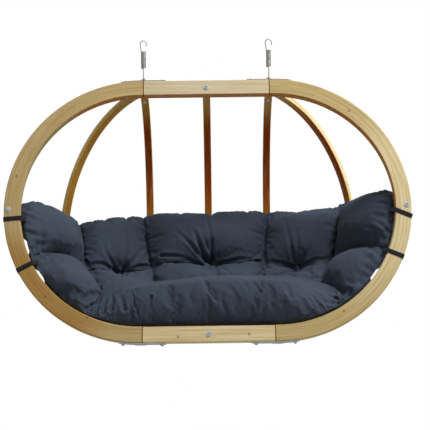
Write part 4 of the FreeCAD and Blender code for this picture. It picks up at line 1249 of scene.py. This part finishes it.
def rib_spot(stand, azimuth, height, radius):
    """A chair point in a rib's plane at an angle from its top pole, and the way out from the ribs' centre."""
    turn = math.radians(azimuth)
    pole = math.radians(height)
    away = np.array((-math.sin(pole) * math.sin(turn), math.sin(pole) * math.cos(turn), math.cos(pole)))
    return np.array((stand, STOCK_DEPTH, 0)) + away * radius, away


def bolt_base():
    """Spots for bolts on the ribs' inner faces at their ends, and on the band behind each rib, each with the
    direction in which its bolt faces."""
    spots = []
    facing = []
    for rib, pole in BOLT_POLES.items():
        for height in (pole, 180 - pole):
            spot, away = rib_spot(*RIBS[rib][:2], height, RIB_INNER)
            spots.append(spot)
            facing.append(-away)
    for rib in RIBS.values():
        spot, away = rib_spot(*rib[:2], 90, BAND_OUTER)
        spots.append(spot)
        facing.append(away)
    turn = np.array(CHAIR)[:3, :3]
    facing = np.array(facing) @ turn.T
    base = spots_mesh("bolt_spots", to_row(spots))
    base.attributes.new("facing", "FLOAT_VECTOR", "POINT")
    base.attributes["facing"].data.foreach_set("vector", facing.astype(np.float32).ravel())
    return base


def make_rib_bolts(material):
    """Button bolts with washers, each turned to face out of the wood."""
    shape = Shape("button_bolt")
    size = shape.inputs(BOLT_SIZES)
    disc = {"Vertices": 24, "Radius": size["washer"], "Depth": WASHER_DEPTH}
    washer = shape.node("GeometryNodeMeshCylinder", None, disc)
    washer = shape.node("GeometryNodeTransform", None, {0: washer, "Translation": (0, 0, WASHER_LIFT)})
    tall = shape.node("ShaderNodeCombineXYZ", None, {0: size["head"], 1: size["head"], 2: size["crown"]})
    dome = shape.node("GeometryNodeMeshUVSphere", None, {"Segments": 20, "Rings": 10, "Radius": 1.0})
    raised = {0: dome, "Translation": (0, 0, CROWN_LIFT), "Scale": tall}
    dome = shape.node("GeometryNodeTransform", None, raised)
    bolt = shape.node("GeometryNodeJoinGeometry", None, {0: [washer, dome]})
    facing = shape.node("GeometryNodeInputNamedAttribute", {"data_type": "FLOAT_VECTOR"}, {"Name": "facing"})
    turned = shape.node("FunctionNodeAlignRotationToVector", {"axis": "Z"}, {"Vector": facing})
    placed = {"Points": size["Geometry"], "Instance": bolt, "Rotation": turned}
    tree = shape.close(shape.node("GeometryNodeInstanceOnPoints", None, placed), material)
    piece = grown("rib_bolts", tree, bolt_base(), BOLT_SIZES)
    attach(piece, "chair")


def ribbon(path, across, width, thickness):
    """A closed flat band swept along chair points: rounded edges, capped ends, and its map of metres."""
    path = np.asarray(path, float)
    across = np.asarray(across, float)
    ahead = np.gradient(path, axis=0)
    ahead /= np.linalg.norm(ahead, axis=1, keepdims=True)
    up = np.cross(ahead, across)
    up /= np.linalg.norm(up, axis=1, keepdims=True)
    flat = np.linspace(-0.5, 0.5, 7) * (width - thickness)
    edge = thickness / 2
    corner = edge * math.sqrt(0.5)
    section = [(a, edge) for a in flat]
    section += [(flat[-1] + corner, corner), (flat[-1] + edge, 0), (flat[-1] + corner, -corner)]
    section += [(a, -edge) for a in flat[::-1]]
    section += [(flat[0] - corner, -corner), (flat[0] - edge, 0), (flat[0] - corner, corner)]
    count = len(section)
    along = np.concatenate(([0], np.cumsum(np.linalg.norm(np.diff(path, axis=0), axis=1))))
    points = []
    spots = []
    for i, here in enumerate(path):
        for a, b in section:
            points.append(here + across[i] * a + up[i] * b)
            spots.append((along[i], a))
    faces = []
    for i in range(len(path) - 1):
        for k in range(count):
            a = i * count + k
            b = i * count + (k + 1) % count
            faces.append((a, b, b + count, a + count))
    faces.append(tuple(reversed(range(count))))
    faces.append(tuple(range((len(path) - 1) * count, len(path) * count)))
    return np.array(points), faces, np.array(spots)


# Straps: side of the chair, degrees below the hoop's middle and slant.
STRAPS = {
    "left_upper_strap": (-1, 4.3, 0.0),
    "left_lower_strap": (-1, 27.5, 0.0),
    "right_upper_strap": (1, 3.9, -0.36),
    "right_lower_strap": (1, 23.1, 0.0),
}
STRAP_WIDTH = 0.020
STRAP_THICKNESS = 0.002
STRAP_BEND = 0.004
FACE_LIFT = 0.0014
EDGE_LIFT = 0.0017
FOLD_LIFT = 0.0012

# Where a strap is sewn to the cushion: out from the stock's middle, and back from the ring's front face.
STRAP_ANCHOR = (-STOCK_WIDTH / 2 - 0.022, 0.036)


def eased_run(start, end):
    """Six places from one place towards another, with an eased change of depth."""
    shares = np.linspace(0.15, 0.9, 6)
    eases = smooth_step(shares, 0.0, 1.0)
    far, deep = start
    return [(far + (end[0] - far) * a, deep + (end[1] - deep) * b) for a, b in zip(shares, eases)]


def strap_path():
    """A strap's run round the stock as distances out from its middle and back from the ring's front, from the
    cushion's edge over the front, the outer edge and the back, to the cushion's edge again."""
    half = STOCK_WIDTH / 2 + EDGE_LIFT
    front = -FACE_LIFT
    rear = STOCK_DEPTH + FACE_LIFT
    bend = STRAP_BEND
    far, deep = STRAP_ANCHOR
    run = [(far, deep - FOLD_LIFT)]
    run += eased_run(STRAP_ANCHOR, (-half, front))
    run += [(a, front) for a in np.linspace(-half + 0.004, half - bend - 0.002, 12)]
    turns = np.radians(np.linspace(-90, 0, 6))
    run += [(half - bend + bend * math.cos(t), front + bend + bend * math.sin(t)) for t in turns]
    run += [(half, front + bend + (rear - front - 2 * bend) * s) for s in (0.25, 0.5, 0.75)]
    turns = np.radians(np.linspace(0, 90, 6))
    run += [(half - bend + bend * math.cos(t), rear - bend + bend * math.sin(t)) for t in turns]
    run += [(a, rear) for a in np.linspace(half - bend - 0.006, -half + 0.004, 10)]
    run += eased_run((-half, rear), STRAP_ANCHOR)
    run.append((far, deep + FOLD_LIFT))
    return run


def make_strap(node, material):
    """A webbing strap sewn to the cushion's edge and led round the hoop."""
    side, angle, slant = STRAPS[node]
    turn = math.radians(angle)
    out = np.array((side * math.cos(turn), 0, -math.sin(turn)))
    level = np.array((side * math.sin(turn), 0, math.cos(turn)))
    back = np.array((0.0, 1.0, 0.0))
    middle = np.array((side * HOOP_CENTRE, 0, 0)) + out * STOCK_RADIUS
    path = [middle + out * far + back * deep + level * slant * far for far, deep in strap_path()]
    across = np.array([level - out * slant] * len(path))
    across /= np.linalg.norm(across, axis=1, keepdims=True)
    points, faces, spots = ribbon(path, across * side, STRAP_WIDTH, STRAP_THICKNESS)
    piece = new_piece(node.replace("strap", "webbing"), to_row(points), faces, material)
    weave_map(piece.data, spots)
    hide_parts(node)
    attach(piece, "chair")


make_camera()
make_lights()
make_floor()
make_surround()
bpy.context.scene.view_settings.view_transform = "Standard"
steels = dress_solids()
make_coils(steels["spring_zinc"])
make_rib_bolts(steels["bright_zinc"])
black_webbing = webbing("black_webbing", srgb("0f1014"), srgb("25272d"))
for strap in STRAPS:
    make_strap(strap, black_webbing)
make_cushion(canvas("slate_canvas", srgb("343b47"), srgb("48515f")))
